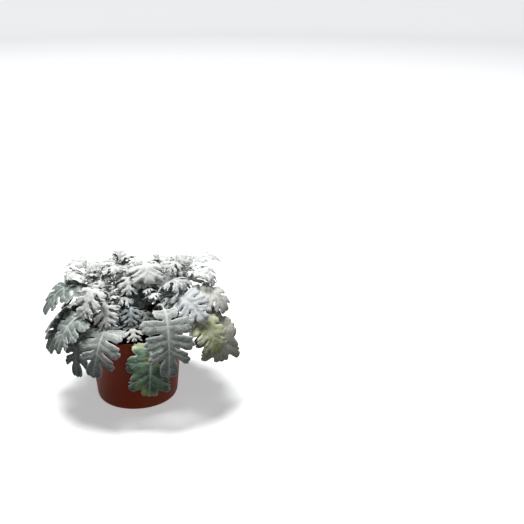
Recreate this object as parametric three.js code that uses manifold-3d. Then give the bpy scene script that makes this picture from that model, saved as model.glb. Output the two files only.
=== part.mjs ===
// A potted dusty miller: a moulded plastic pot, the potting soil in it, and the plant as leafy shoots.
// The plant branches below the soil surface, so each shoot is one grown piece: a felted stem with its leaves
// fused to it. Millimetres, +Z up. The origin is the middle of the pot's underside, and -Y is the best side.
import * as THREE from "three";
import { mergeVertices } from "three/addons/utils/BufferGeometryUtils.js";
import Module from "manifold-3d";

const wasm = await Module();
wasm.setup();

// ---- Driving dimensions ----
const POT_HEIGHT = 93;
const RIM_RADIUS = 60;
const RIM_BAND = 12;
const RIM_STEP = 2.6;
const BASE_RADIUS = 44;
const BASE_CORNER = 5;
const WALL = 1.4;
const FLOOR = 3.4; // height of the pot's floor inside
const POT_SEGMENTS = 30;
const DRAIN_RING = [26, 38];
const DRAIN_RAISE = 2;
const DRAIN_RADIUS = 4;
const DRAIN_COUNT = 8;
const FOOT_NOTCHES = 4;

const SOIL_TOP = 84;
const SOIL_SEGMENTS = 20;
const STEM_DEPTH = 16;
const STEM_SIDES = 6;
const GAP = 0.35; // what keeps two touching pieces apart
const HOLE_SCALE = 1 / Math.cos(Math.PI / STEM_SIDES); // brings that gap to the flats of a stem's hole

const BLADE_EDGE = 0.7; // thickness of a blade at its margin
const ROOT_SET = 0.3; // how far from the stem's axis a leaf starts, in stem radii
const GOLDEN_ANGLE = 137.508;

// ---- Small helpers ----
const rad = THREE.MathUtils.degToRad;
const mix = THREE.MathUtils.lerp;
const vec = (x, y, z) => new THREE.Vector3(x, y, z);

// A repeatable draw from 0 to 1 for the pair (seed, k).
function draw(seed, k) {
  const x = Math.sin(seed * 12.9898 + k * 78.233) * 43758.5453;
  return x - Math.floor(x);
}

function solidOf(geometry) {
  const bare = geometry.clone();
  bare.deleteAttribute("normal");
  bare.deleteAttribute("uv");
  const merged = mergeVertices(bare, 1e-4);
  return new wasm.Manifold(
    new wasm.Mesh({
      numProp: 3,
      vertProperties: new Float32Array(merged.attributes.position.array),
      triVerts: new Uint32Array(merged.index.array),
    }),
  );
}

function geometryOf(solid) {
  const { vertProperties, triVerts } = solid.getMesh();
  return new THREE.BufferGeometry()
    .setAttribute("position", new THREE.BufferAttribute(vertProperties, 3))
    .setIndex(new THREE.BufferAttribute(triVerts, 1));
}

function geometryFrom(points, triangles) {
  const coordinates = points.flatMap((p) => [p.x, p.y, p.z]);
  return new THREE.BufferGeometry()
    .setAttribute("position", new THREE.Float32BufferAttribute(coordinates, 3))
    .setIndex(triangles.flat());
}

// ---- Pot: a turned wall with a rim band, a raised drainage ring and its holes ----
const BAND_FOOT = POT_HEIGHT - RIM_BAND;
const BODY_TOP = RIM_RADIUS - RIM_STEP - 1;
const insideRadius = (z) => mix(BASE_RADIUS + BASE_CORNER, BODY_TOP, z / BAND_FOOT) - WALL;

function pot() {
  const [ringIn, ringOut] = DRAIN_RING;
  const profile = [
    [0, 0], [ringIn, 0], [ringIn + 1.5, DRAIN_RAISE], [ringOut - 1.5, DRAIN_RAISE], [ringOut, 0],
    [BASE_RADIUS, 0],
    [BASE_RADIUS + 0.7 * BASE_CORNER, 0.3 * BASE_CORNER], [BASE_RADIUS + BASE_CORNER, BASE_CORNER],
    [BODY_TOP, BAND_FOOT - 0.6], [RIM_RADIUS - 0.8, BAND_FOOT + 0.4], [RIM_RADIUS, POT_HEIGHT],
    [RIM_RADIUS - WALL - 0.3, POT_HEIGHT], [RIM_RADIUS - WALL - 1, BAND_FOOT + 0.8],
    [insideRadius(BAND_FOOT - 1), BAND_FOOT - 1], [insideRadius(BASE_CORNER), BASE_CORNER + 0.6],
    [BASE_RADIUS - 0.6, FLOOR], [0, FLOOR],
  ].map(([r, z]) => new THREE.Vector2(r, z));
  let body = solidOf(new THREE.LatheGeometry(profile, POT_SEGMENTS).rotateX(Math.PI / 2));
  if (body.volume() < 0) throw new Error("the pot's profile runs the wrong way");
  const middle = (ringIn + ringOut) / 2;
  for (let i = 0; i < DRAIN_COUNT; i++) {
    const a = rad((360 * (i + 0.5)) / DRAIN_COUNT);
    const hole = new THREE.CylinderGeometry(DRAIN_RADIUS, DRAIN_RADIUS, 8, 8)
      .rotateX(Math.PI / 2)
      .translate(middle * Math.cos(a), middle * Math.sin(a), DRAIN_RAISE);
    body = body.subtract(solidOf(hole));
  }
  for (let i = 0; i < FOOT_NOTCHES; i++) {
    const notch = new THREE.BoxGeometry(16, 6, 2.4)
      .translate(ringOut + 6, 0, 0)
      .rotateZ(rad((360 * (i + 0.5)) / FOOT_NOTCHES));
    body = body.subtract(solidOf(notch));
  }
  return body;
}

// ---- Soil: fills the pot, lumpy on top ----
function soilTop(r, angle) {
  const broad = Math.sin(3 * angle + 0.9) + 0.7 * Math.sin(5 * angle + r / 6);
  const fine = 0.6 * Math.cos(r / 4.5 + 2 * angle);
  return SOIL_TOP + 0.75 * (broad + fine) + 1.6 * (1 - r / RIM_RADIUS);
}

function soil(stemHoles) {
  const edge = insideRadius(BAND_FOOT) - GAP;
  const rings = [
    [0.3 * edge],
    [0.64 * edge],
    [edge],
    [edge - 0.4, BAND_FOOT - 4],
    [insideRadius(BASE_CORNER) - GAP, BASE_CORNER + 1.2],
    [BASE_RADIUS - 1.6, FLOOR + GAP],
  ];
  const points = [vec(0, 0, soilTop(0, 0))];
  for (const [r, z] of rings) {
    for (let i = 0; i < SOIL_SEGMENTS; i++) {
      const a = (2 * Math.PI * i) / SOIL_SEGMENTS;
      points.push(vec(r * Math.cos(a), r * Math.sin(a), z ?? soilTop(r, a)));
    }
  }
  const last = points.push(vec(0, 0, FLOOR + GAP)) - 1;
  const count = rings.length;
  const at = (k, i) => 1 + k * SOIL_SEGMENTS + (i % SOIL_SEGMENTS);
  const triangles = [];
  for (let i = 0; i < SOIL_SEGMENTS; i++) {
    triangles.push([0, at(0, i), at(0, i + 1)]);
    for (let k = 0; k + 1 < count; k++) {
      triangles.push([at(k, i), at(k + 1, i), at(k + 1, i + 1)]);
      triangles.push([at(k, i), at(k + 1, i + 1), at(k, i + 1)]);
    }
    triangles.push([at(count - 1, i), last, at(count - 1, i + 1)]);
  }
  return stemHoles.reduce((body, hole) => body.subtract(hole), solidOf(geometryFrom(points, triangles)));
}

// ---- Stem: a tapered tube, upright where it stands in the soil ----
function stemPoint(shoot, share) {
  const [x, y] = shoot.foot;
  const foot = vec(x, y, SOIL_TOP);
  const tip = vec(...shoot.tip);
  const knee = vec(x, y, mix(SOIL_TOP, tip.z, 0.55));
  return new THREE.QuadraticBezierCurve3(foot, knee, tip).getPoint(share);
}

// "grow" makes it that much thicker and longer, for the hole it stands in.
function stem(shoot, grow = 0) {
  const [x, y] = shoot.foot;
  const above = [0, 0.3, 0.6, 1].map((share) => stemPoint(shoot, share));
  const centres = [vec(x, y, SOIL_TOP - STEM_DEPTH - grow), ...above];
  const taper = [0.9, 1, 0.86, 0.72, 0.5];
  const points = [];
  centres.forEach((c, k) => {
    const r = taper[k] * shoot.girth + grow * HOLE_SCALE;
    for (let i = 0; i < STEM_SIDES; i++) {
      const a = (2 * Math.PI * i) / STEM_SIDES;
      points.push(vec(c.x + r * Math.cos(a), c.y + r * Math.sin(a), c.z));
    }
  });
  const triangles = [];
  const top = centres.length - 1;
  const at = (k, i) => k * STEM_SIDES + (i % STEM_SIDES);
  for (let i = 0; i < STEM_SIDES; i++) {
    for (let k = 0; k < top; k++) {
      triangles.push([at(k, i), at(k, i + 1), at(k + 1, i + 1)]);
      triangles.push([at(k, i), at(k + 1, i + 1), at(k + 1, i)]);
    }
  }
  for (let i = 1; i + 1 < STEM_SIDES; i++) {
    triangles.push([at(0, 0), at(0, i + 1), at(0, i)]);
    triangles.push([at(top, 0), at(top, i), at(top, i + 1)]);
  }
  return solidOf(geometryFrom(points, triangles));
}

// ---- Leaf outlines ----
// The end of one lobe, from its side towards the leaf's base to its side towards the tip: share of the lobe's
// reach, and place between the two cuts beside it (-1 is the cut towards the base).
const WIDE_LOBE = [[0.62, -0.95], [0.95, -0.8], [1.0, 0.32], [0.76, 0.95]];
const SHALLOW_LOBE = [[0.84, -0.9], [0.97, -0.5], [1.0, 0.4], [0.86, 0.9]];
const ROUND_LOBE = [[0.88, -0.64], [1.0, 0.04], [0.88, 0.7]];
const NARROW_LOBE = [[0.93, -0.6], [0.96, 0.58]];
// The end of the blade: half widths of the blade across, and place between the last cut and the leaf's tip.
const WIDE_END = [[0.36, 0.32], [0.32, 0.84]];
const NARROW_END = [[0.24, 0.42], [0.16, 0.86]];

// Each lobe: where its vein leaves the midrib (share of the blade), its angle to the midrib, and its reach.
const LEAF_SHAPES = {
  oak: {
    lobes: [[0.07, 112, 0.52], [0.25, 90, 1], [0.44, 75, 0.97], [0.58, 60, 0.82]],
    cut: 0.7, half: 0.42, lobe: WIDE_LOBE, end: WIDE_END,
  },
  broad: {
    lobes: [[0.08, 104, 0.62], [0.27, 85, 1], [0.47, 71, 0.94], [0.63, 58, 0.7]],
    cut: 0.46, half: 0.45, lobe: WIDE_LOBE, end: WIDE_END,
  },
  round: {
    lobes: [[0.1, 104, 0.82], [0.33, 80, 1], [0.56, 60, 0.9]],
    cut: 0.22, half: 0.5, lobe: SHALLOW_LOBE, end: WIDE_END,
  },
  feather: {
    lobes: [[0.1, 82, 0.62], [0.3, 72, 1], [0.52, 62, 0.95], [0.71, 52, 0.68]],
    cut: 0.76, half: 0.42, lobe: ROUND_LOBE, end: NARROW_END,
  },
  young: {
    lobes: [[0.14, 74, 0.76], [0.38, 63, 1], [0.62, 52, 0.82]],
    cut: 0.7, half: 0.45, lobe: NARROW_LOBE, end: NARROW_END,
  },
  bud: {
    lobes: [[0.2, 62, 0.85], [0.52, 50, 1]],
    cut: 0.6, half: 0.36, lobe: NARROW_LOBE, end: NARROW_END,
  },
};

// A leaf laid flat: points are [across, along, thickness], "along" counted from the root of the petiole, and
// triangles fan from the midrib into each lobe.
function flatLeaf(leaf, length) {
  const shape = LEAF_SHAPES[leaf.shape];
  const start = length * leaf.petiole;
  const blade = length - start;
  const half = shape.half * blade * leaf.wide;
  const rib = 0.9 + 0.012 * length;
  const stalk = 0.85 + 0.009 * length;
  const count = shape.lobes.length;
  const points = [];
  const add = (u, v, t) => points.push([u, v, t]) - 1;
  const steps = start > 34 ? [0, 0.5, 1] : [0, 1];
  const petiole = steps.map((s) => add(0, start * s, rib * (1.35 - 0.2 * s)));
  const roots = shape.lobes.map(([along], i) => {
    return add(0, start + blade * along, mix(rib, BLADE_EDGE + 0.2, (i + 0.6) / (count + 0.6)));
  });
  // the last fan spreads from a point past the last lobe's vein
  const [lastAlong] = shape.lobes[count - 1];
  const step = lastAlong - shape.lobes[count - 2][0];
  roots.push(add(0, start + blade * (lastAlong + 0.62 * step), BLADE_EDGE + 0.3));
  const tip = add(0, length, BLADE_EDGE);
  const triangles = [];
  const sides = [];
  for (const side of [1, -1]) {
    const face = (a, b, c) => triangles.push(side > 0 ? [a, b, c] : [a, c, b]);
    const vary = (i, amount) => amount * (draw(leaf.seed, 10 * i + side) - 0.5);
    const angles = shape.lobes.map(([, angle], i) => angle + vary(i, 7));
    const reaches = shape.lobes.map(([, , reach], i) => half * reach * (1 + vary(i + 5, 0.16)));
    // cuts[i] lies below lobe i; a cut runs outwards from the midrib
    const cuts = shape.lobes.map(([along], i) => {
      const below = i ? shape.lobes[i - 1][0] : along - step;
      const angle = i ? (angles[i] + angles[i - 1]) / 2 : angles[0] + 4;
      return { foot: start + (blade * (along + below)) / 2, angle };
    });
    cuts.push({ foot: start + blade * (lastAlong + step / 2), angle: angles[count - 1] - 6 });
    const onCut = (k, u) => cuts[k].foot + u / Math.tan(rad(cuts[k].angle));
    const edge = steps.map((s) => add(side * stalk, start * s, BLADE_EDGE + 0.4));
    for (let j = 0; j + 1 < steps.length; j++) {
      face(petiole[j], edge[j], edge[j + 1]);
      face(petiole[j], edge[j + 1], petiole[j + 1]);
    }
    let from = edge[steps.length - 1];
    face(petiole[steps.length - 1], from, roots[0]);
    const chain = [...edge];
    for (let i = 0; i < count; i++) {
      const lobe = shape.lobe.map(([a, b]) => {
        const u = a * reaches[i];
        return add(side * u, mix(onCut(i, u), onCut(i + 1, u), 0.5 + 0.46 * b), BLADE_EDGE);
      });
      const beside = i + 1 < count ? Math.min(reaches[i], reaches[i + 1]) : reaches[i];
      const neck = Math.max(stalk, beside * (1 - shape.cut));
      const sinus = add(side * neck, onCut(i + 1, neck), BLADE_EDGE);
      const fan = [from, ...lobe, sinus];
      for (let k = 0; k + 1 < fan.length; k++) face(roots[i], fan[k], fan[k + 1]);
      face(roots[i], sinus, roots[i + 1]);
      chain.push(...lobe, sinus);
      from = sinus;
    }
    const end = shape.end.map(([a, b]) => {
      return add(side * a * half, mix(onCut(count, a * half), length, b), BLADE_EDGE);
    });
    const fan = [from, ...end, tip];
    for (let k = 0; k + 1 < fan.length; k++) face(roots[count], fan[k], fan[k + 1]);
    sides.push([...chain, ...end]);
  }
  const [right, left] = sides;
  return { points, triangles, outline: [petiole[0], ...right, tip, ...left.reverse()], blade, start, half };
}

// ---- Leaf in space ----
// Ways to bend a leaf clear of what already stands there, the slightest first: degrees round its stem, share
// of its reach, and millimetres up.
const TURNS = [0, 5, -5, 10, -10, 17, -17, 25, -25];
const LIFTS = [0, 4, -4, 8, -8];
const STRETCHES = [0, -0.15, -0.3];
const BEND_CLEAR = TURNS
  .flatMap((turn) => LIFTS.flatMap((lift) => STRETCHES.map((stretch) => [turn, stretch, lift])))
  .sort((a, b) => bendCost(a) - bendCost(b));

function bendCost([turn, stretch, lift]) {
  return Math.abs(turn) / 5 + Math.abs(lift) / 4 - 8 * stretch;
}

function leafCurve(shoot, leaf, [turn, stretch, lift]) {
  const root = stemPoint(shoot, leaf.at);
  const outward = vec(leaf.tip[0] - root.x, leaf.tip[1] - root.y, 0).normalize();
  root.addScaledVector(outward, ROOT_SET * shoot.girth);
  const moved = (point) => {
    const away = vec(...point).sub(root).applyAxisAngle(vec(0, 0, 1), rad(turn));
    return vec(root.x + away.x * (1 + stretch), root.y + away.y * (1 + stretch), root.z + away.z + lift);
  };
  const over = moved(leaf.over);
  const tip = moved(leaf.tip);
  // the handle that takes the curve through "over" halfway
  const handle = over.clone().multiplyScalar(2).addScaledVector(root, -0.5).addScaledVector(tip, -0.5);
  const curve = new THREE.QuadraticBezierCurve3(root, handle, tip);
  return { curve, bearing: Math.atan2(tip.y - root.y, tip.x - root.x), length: curve.getLength() };
}

// "skip" leaves out that much of the petiole, from its root.
function leafSolid(shoot, leaf, step, skip = 0) {
  const { curve, bearing, length } = leafCurve(shoot, leaf, step);
  const flat = flatLeaf(leaf, length);
  const across = vec(Math.sin(bearing), -Math.cos(bearing), 0);
  const places = flat.points.map(([u, v, t]) => {
    const reach = Math.max(v, Math.min(skip, 0.9 * flat.start));
    const share = Math.min(1, reach / length);
    const along = curve.getTangentAt(share);
    const centre = curve.getPointAt(share).addScaledVector(along, Math.max(0, reach - length));
    const side = across.clone().addScaledVector(along, -across.dot(along)).normalize();
    const up = side.clone().cross(along);
    const spread = THREE.MathUtils.smoothstep(v, 0.5 * flat.start, flat.start + 0.2 * flat.blade);
    side.applyAxisAngle(along, rad(leaf.roll) * spread);
    up.applyAxisAngle(along, rad(leaf.roll) * spread);
    const out = Math.abs(u) / flat.half;
    const phase = (u > 0 ? 0 : 2) + 6.28 * draw(leaf.seed, 3);
    const ripple = Math.sin((6.5 * (v - flat.start)) / flat.blade + phase);
    const height = spread * flat.half * out * (leaf.fold - leaf.curl * out + leaf.wave * ripple);
    const shrink = Math.cos(Math.atan(spread * (leaf.fold - leaf.curl * out)));
    const middle = centre.addScaledVector(side, u * shrink).addScaledVector(up, height);
    return [middle.clone().addScaledVector(up, t / 2), middle.clone().addScaledVector(up, -t / 2)];
  });
  const n = places.length;
  const triangles = flat.triangles.flatMap(([a, b, c]) => [[a, b, c], [a + n, c + n, b + n]]);
  flat.outline.forEach((a, k) => {
    const b = flat.outline[(k + 1) % flat.outline.length];
    triangles.push([a, a + n, b + n], [a, b + n, b]);
  });
  return solidOf(geometryFrom([...places.map(([top]) => top), ...places.map(([, under]) => under)], triangles));
}

// ---- Layout ----
const FORM = { petiole: 0.36, roll: 0, fold: 0.12, curl: 0.22, wave: 0.03, wide: 1 };

// A leaf whose course is written out: where on the stem it grows, the point it passes halfway, and its tip.
function leafThrough(at, over, tip, shape, more = {}) {
  return { ...FORM, at, over, tip, shape, ...more };
}

// A leaf that arches outwards: its tip by bearing round the pot, distance from the pot's axis and height.
function leafOut(shoot, at, [bearing, radius, height], arch, shape, more = {}) {
  const root = stemPoint(shoot, at);
  const tip = [radius * Math.cos(rad(bearing)), radius * Math.sin(rad(bearing)), height];
  const over = [mix(root.x, tip[0], 0.55), mix(root.y, tip[1], 0.55), mix(root.z, height, 0.5) + arch];
  return { ...FORM, at, over, tip, shape, ...more };
}

// The young leaves round a shoot's tip, by the golden angle, shorter and steeper towards the tip.
function youngLeaves(shoot) {
  return Array.from({ length: shoot.young }, (_, j) => {
    const age = 1 - j / (shoot.young - 1);
    const at = mix(1, 0.78, age);
    const turn = rad(shoot.turn + GOLDEN_ANGLE * j);
    const root = stemPoint(shoot, at);
    const out = mix(7, shoot.spread ?? 40, age ** 0.8) * (0.9 + 0.2 * draw(shoot.turn, j));
    const tip = [root.x + out * Math.cos(turn), root.y + out * Math.sin(turn), root.z + mix(16, 12, age)];
    const over = [mix(root.x, tip[0], 0.5), mix(root.y, tip[1], 0.5), root.z + mix(10, 19, age)];
    const form = { petiole: 0.22, fold: 0.25, curl: 0.45, wide: mix(0.9, 1.2, age) };
    return { ...FORM, ...form, at, over, tip, shape: out < 15 ? "bud" : "young" };
  });
}

const SHOOTS = [
  { name: "shoot_front", foot: [-2, -22], tip: [-2, -30, 118], girth: 2.6, young: 5, turn: 150, spread: 28 },
  { name: "shoot_front_right", foot: [16, -14], tip: [40, -14, 140], girth: 3.4, young: 6, turn: -40 },
  { name: "shoot_front_left", foot: [-16, -12], tip: [-30, -24, 138], girth: 3.2, young: 6, turn: 215 },
  { name: "shoot_middle", foot: [0, 6], tip: [8, 12, 150], girth: 3.4, young: 6, turn: 140 },
  { name: "shoot_right", foot: [24, 5], tip: [62, 16, 148], girth: 3.2, young: 7, turn: 225 },
  { name: "shoot_left", foot: [-20, 8], tip: [-46, 12, 150], girth: 3.2, young: 7, turn: 60 },
  { name: "shoot_back_right", foot: [14, 22], tip: [36, 56, 146], girth: 3.0, young: 7, turn: 50 },
  { name: "shoot_back", foot: [-8, 24], tip: [-14, 56, 146], girth: 3.0, young: 7, turn: 110 },
];

// The grown leaves of each shoot; the first ones are placed before all others.
const GROWN = {
  shoot_front: () => [
    leafThrough(0.6, [-3, -50, 112], [-1, -66, 99], "feather", { petiole: 0.34 }),
    leafThrough(0.95, [-3, -40, 131], [-5, -55, 114], "feather", { petiole: 0.3, wide: 1.1 }),
    leafThrough(0.8, [10, -38, 124], [17, -53, 107], "feather", { petiole: 0.3 }),
  ],
  shoot_front_right: () => [
    leafThrough(0.42, [35, -66, 134], [35, -97, 66], "oak", { petiole: 0.44, wide: 0.87 }),
    leafThrough(0.06, [17, -68, 99], [12, -91, 45], "round", { petiole: 0.48, wide: 0.93 }),
    leafThrough(0.3, [74, -53, 114], [92, -70, 78], "broad", { petiole: 0.52, roll: 14 }),
    leafThrough(0.75, [54, -42, 142], [80, -64, 119], "broad", { petiole: 0.4, roll: 26 }),
  ],
  shoot_front_left: () => [
    leafThrough(0.2, [-35, -66, 109], [-50, -80, 60], "oak", { petiole: 0.36, wide: 0.85 }),
    leafThrough(0.25, [-58, -47, 106], [-68, -64, 58], "oak", { petiole: 0.42, wide: 0.85 }),
    leafThrough(0.35, [-62, -40, 124], [-90, -53, 86], "broad", { petiole: 0.42, wide: 0.9 }),
    leafThrough(0.7, [-42, -38, 147], [-58, -55, 119], "feather", { petiole: 0.34 }),
    leafThrough(0.8, [-32, -44, 136], [-30, -65, 114], "feather", { petiole: 0.34 }),
  ],
  shoot_middle: () => [
    leafThrough(0.85, [15, -2, 167], [20, -21, 151], "round", { petiole: 0.3, wide: 1.05 }),
    leafThrough(0.7, [-3, -8, 160], [-5, -27, 144], "feather", { petiole: 0.34 }),
    leafThrough(0.5, [5, -10, 140], [8, -36, 124], "broad"),
    leafThrough(0.4, [-12, -9, 134], [-22, -32, 118], "broad"),
  ],
  shoot_right: () => [
    leafThrough(0.12, [82, -34, 105], [99, -54, 60], "round", { petiole: 0.54, wide: 1.05, roll: 24 }),
    leafThrough(0.4, [82, -16, 129], [108, -28, 104], "broad", { petiole: 0.46, roll: 10 }),
    leafThrough(0.75, [81, 0, 157], [97, -11, 142], "feather", { petiole: 0.34 }),
    leafThrough(0.85, [84, 22, 166], [106, 28, 160], "feather", { petiole: 0.34 }),
    leafThrough(0.92, [52, 0, 165], [42, -13, 157], "feather", { petiole: 0.26 }),
    leafThrough(0.92, [62, 38, 167], [58, 56, 160], "feather", { petiole: 0.26 }),
  ],
  shoot_left: () => [
    leafThrough(0.45, [-70, -4, 148], [-105, -14, 118], "broad", { petiole: 0.3, wide: 0.8 }),
    leafThrough(0.3, [-66, -16, 128], [-102, -29, 84], "broad", { petiole: 0.4 }),
    leafThrough(0.75, [-64, 2, 158], [-80, 4, 150], "feather", { petiole: 0.3 }),
    leafThrough(0.9, [-58, 12, 168], [-74, 22, 163], "feather", { petiole: 0.3 }),
  ],
};

// The grown leaves that close the plant at its back and sides, placed last.
const GROWN_BEHIND = {
  shoot_right: (s) => [
    leafOut(s, 0.3, [8, 112, 82], 24, "oak"),
    leafOut(s, 0.5, [26, 110, 124], 14, "feather"),
  ],
  shoot_left: (s) => [leafOut(s, 0.3, [166, 112, 80], 24, "oak")],
  shoot_back_right: (s) => [
    leafOut(s, 0.3, [32, 112, 76], 24, "oak"),
    leafOut(s, 0.25, [52, 110, 62], 24, "broad"),
    leafOut(s, 0.55, [46, 108, 116], 14, "feather"),
    leafOut(s, 0.4, [72, 108, 84], 22, "oak"),
  ],
  shoot_back: (s) => [
    leafOut(s, 0.3, [92, 110, 68], 24, "oak"),
    leafOut(s, 0.3, [116, 112, 76], 24, "broad"),
    leafOut(s, 0.55, [104, 106, 114], 14, "feather"),
    leafOut(s, 0.4, [141, 112, 84], 22, "oak"),
  ],
};

// ---- Assembly ----
const NEAR = 1.0; // how far two leaves are searched for a gap
const CLEAR = 0.45; // gap kept between pieces of different nodes
const APART = 0.15; // gap kept between the leaves of one shoot,
const ROOT_FREE = 7; // but for this length at their roots

const potSolid = pot();
const stems = SHOOTS.map((shoot) => stem(shoot));
const soilSolid = soil(SHOOTS.map((shoot) => stem(shoot, GAP)));

function boxesMeet(a, b, margin) {
  return [0, 1, 2].every((k) => a.min[k] - margin < b.max[k] && b.min[k] - margin < a.max[k]);
}

function isClear(solid, others, gap) {
  const box = solid.boundingBox();
  return others.every((o) => !boxesMeet(box, o.box, NEAR) || solid.minGap(o.solid, NEAR) > gap);
}

const withBox = (solid) => ({ solid, box: solid.boundingBox() });
const standing = stems.map((solid) => [withBox(solid)]); // all solids of each shoot
const blades = SHOOTS.map(() => []); // each shoot's leaves without their roots
const fixed = [withBox(potSolid), withBox(soilSolid)];

// Fuses a leaf to its shoot in the first bend that is clear; a leaf that finds no room isn't grown.
function place(index, leaf) {
  const shoot = SHOOTS[index];
  const strangers = [...fixed, ...standing.filter((_, i) => i !== index).flat()];
  for (const bend of BEND_CLEAR) {
    const whole = leafSolid(shoot, leaf, bend);
    if (!isClear(whole, strangers, CLEAR)) continue;
    const outer = leafSolid(shoot, leaf, bend, ROOT_FREE);
    if (!isClear(outer, blades[index], APART)) continue;
    standing[index].push(withBox(whole));
    blades[index].push(withBox(outer));
    return;
  }
}

const growths = [(shoot) => GROWN[shoot.name]?.(), youngLeaves, (shoot) => GROWN_BEHIND[shoot.name]?.(shoot)];
growths.forEach((leavesOf, turn) => {
  SHOOTS.forEach((shoot, i) => {
    (leavesOf(shoot) ?? []).forEach((leaf, j) => place(i, { ...leaf, seed: 100 * i + 30 * turn + j + 1 }));
  });
});

const FELT = new THREE.MeshStandardMaterial({ color: 0xc3c9c4, roughness: 0.95, metalness: 0 });
const PLASTIC = new THREE.MeshStandardMaterial({ color: 0x7a3420, roughness: 0.5, metalness: 0 });
const PEAT = new THREE.MeshStandardMaterial({ color: 0x2a1e16, roughness: 1, metalness: 0 });

function node(name, solid, material) {
  const mesh = new THREE.Mesh(geometryOf(solid), material);
  mesh.name = name;
  return mesh;
}

const plant = new THREE.Group();
plant.add(node("pot", potSolid, PLASTIC), node("soil", soilSolid, PEAT));
SHOOTS.forEach((shoot, i) => {
  plant.add(node(shoot.name, wasm.Manifold.union(standing[i].map((s) => s.solid)), FELT));
});

export default plant;
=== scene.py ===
"""A dusty miller in its plastic nursery pot: the smooth pot, the crumbled potting soil, and every shoot with
finely cut, felted leaves that keep to the places and courses of the model's own leaves."""

import math
from collections import Counter

import bmesh
import bpy
import numpy as np
from mathutils import Matrix, Vector, noise
from mathutils.bvhtree import BVHTree
from mathutils.geometry import delaunay_2d_cdt
from mathutils.kdtree import KDTree


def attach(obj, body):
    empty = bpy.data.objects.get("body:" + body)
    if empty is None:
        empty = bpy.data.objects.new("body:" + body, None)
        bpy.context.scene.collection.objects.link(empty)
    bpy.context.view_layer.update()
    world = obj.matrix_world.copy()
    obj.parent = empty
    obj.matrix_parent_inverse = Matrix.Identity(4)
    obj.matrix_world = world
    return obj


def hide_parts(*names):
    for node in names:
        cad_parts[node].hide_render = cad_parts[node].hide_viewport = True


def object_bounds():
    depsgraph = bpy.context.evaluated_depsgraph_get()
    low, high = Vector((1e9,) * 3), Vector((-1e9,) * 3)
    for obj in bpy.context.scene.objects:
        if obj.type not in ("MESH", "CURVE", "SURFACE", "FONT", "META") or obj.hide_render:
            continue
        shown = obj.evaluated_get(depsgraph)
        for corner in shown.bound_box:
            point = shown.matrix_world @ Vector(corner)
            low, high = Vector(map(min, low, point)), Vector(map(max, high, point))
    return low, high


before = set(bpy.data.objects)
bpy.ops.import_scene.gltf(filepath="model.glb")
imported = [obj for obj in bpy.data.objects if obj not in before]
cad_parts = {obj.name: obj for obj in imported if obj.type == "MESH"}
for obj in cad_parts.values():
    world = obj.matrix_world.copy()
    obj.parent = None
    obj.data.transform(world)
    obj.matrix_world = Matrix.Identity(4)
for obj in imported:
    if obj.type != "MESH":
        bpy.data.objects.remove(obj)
cad_low, cad_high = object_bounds()

# ---- Driving dimensions, in millimetres ----
MM = 0.001
POT_HEIGHT = 93
RIM_RADIUS = 60
RIM_BAND = 12
RIM_STEP = 2.6
BASE_RADIUS = 44
BASE_CORNER = 5
WALL = 1.4
FLOOR = 3.4
POT_SEGMENTS = 144
DRAIN_RING = (26, 38)
DRAIN_RAISE = 2
DRAIN_RADIUS = 4
DRAIN_COUNT = 8
FOOT_NOTCHES = 4
BAND_FOOT = POT_HEIGHT - RIM_BAND
BODY_TOP = RIM_RADIUS - RIM_STEP - 1

SOIL_TOP = 84
STEM_DEPTH = 16
GAP = 0.35
SOIL_SEGMENTS = 150
SOIL_STEP = 1.5

BLADE_EDGE = 0.7
ROOT_SET = 0.3
GOLDEN_ANGLE = 137.508

# How far apart an outline's and a blade's points lie
FINENESS = {"grown": (0.75, 1.25), "young": (0.6, 1.0), "filling": (0.75, 1.5), "trial": (2.4, 6)}
# The small leaves that fill each shoot, the length of root on which they may meet others, and how far the two
# trial sheets lie off a leaf's middle
TUFT_LEAVES = 46
LOWER_LEAVES = 24
ROOT_FREE = 9
SHEET_RISE = 0.6

# Between these heights young leaves go from painted shade (thin felt, darker, grey-blue) to lit white
YOUNG_SHADE_HEIGHTS = (130, 156)
# The plant's dome, the share of it (squared) in which leaves get painted shade, how much of their felt that
# shade takes away, and how dark it makes their blades
DOME = (105, 80, 84)
DEEP_SHARES = (0.4, 0.78)
DEEP_SHADE_FELT_LOSS = 0.7
DEEP_SHADE = 0.8

# CRUMBS and HAIRS are how many lie on a square millimetre
CRUMBS = 0.13
CRUMB_RADIUS = 0.9
# Far thicker than real hairs: a felt that fine doesn't show, so these are as coarse as they need to be
HAIRS = 0.5
HAIR_RADIUS = 0.09
HAIR_LENGTH = 1.5

# Lamps in watts and metres
SKY = dict(place=(-0.3, 0.6, 3.4), size=1.5, power=172)
FRONT_FILL = dict(place=(0.8, -2.6, 1.0), size=1.8, power=11)
LAMP_AIM = (0, 0, 0.1)
WORLD_STRENGTH = 0.06
FLOOR_GLOW = 0.45
CAMERA_PLACE = (0, -1.033613, 0.564127)
CAMERA_TURN = (69.01457, 0, -8.58217)
CAMERA_LENS = 63.69


# ---- Small helpers ----
def mix(a, b, t):
    return a + (b - a) * t


def smoothstep(x, low, high):
    t = np.clip((x - low) / (high - low), 0, 1)
    return t * t * (3 - 2 * t)


def draw(seed, k):
    """A repeatable draw from 0 to 1 for the pair (seed, k)."""
    x = math.sin(seed * 12.9898 + k * 78.233) * 43758.5453
    return x - math.floor(x)


def unit(v):
    return v / np.linalg.norm(v, axis=-1, keepdims=True)


def bezier(a, b, c, t):
    t = np.asarray(t, float)[..., None]
    return (1 - t) ** 2 * a + 2 * t * (1 - t) * b + t**2 * c


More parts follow.
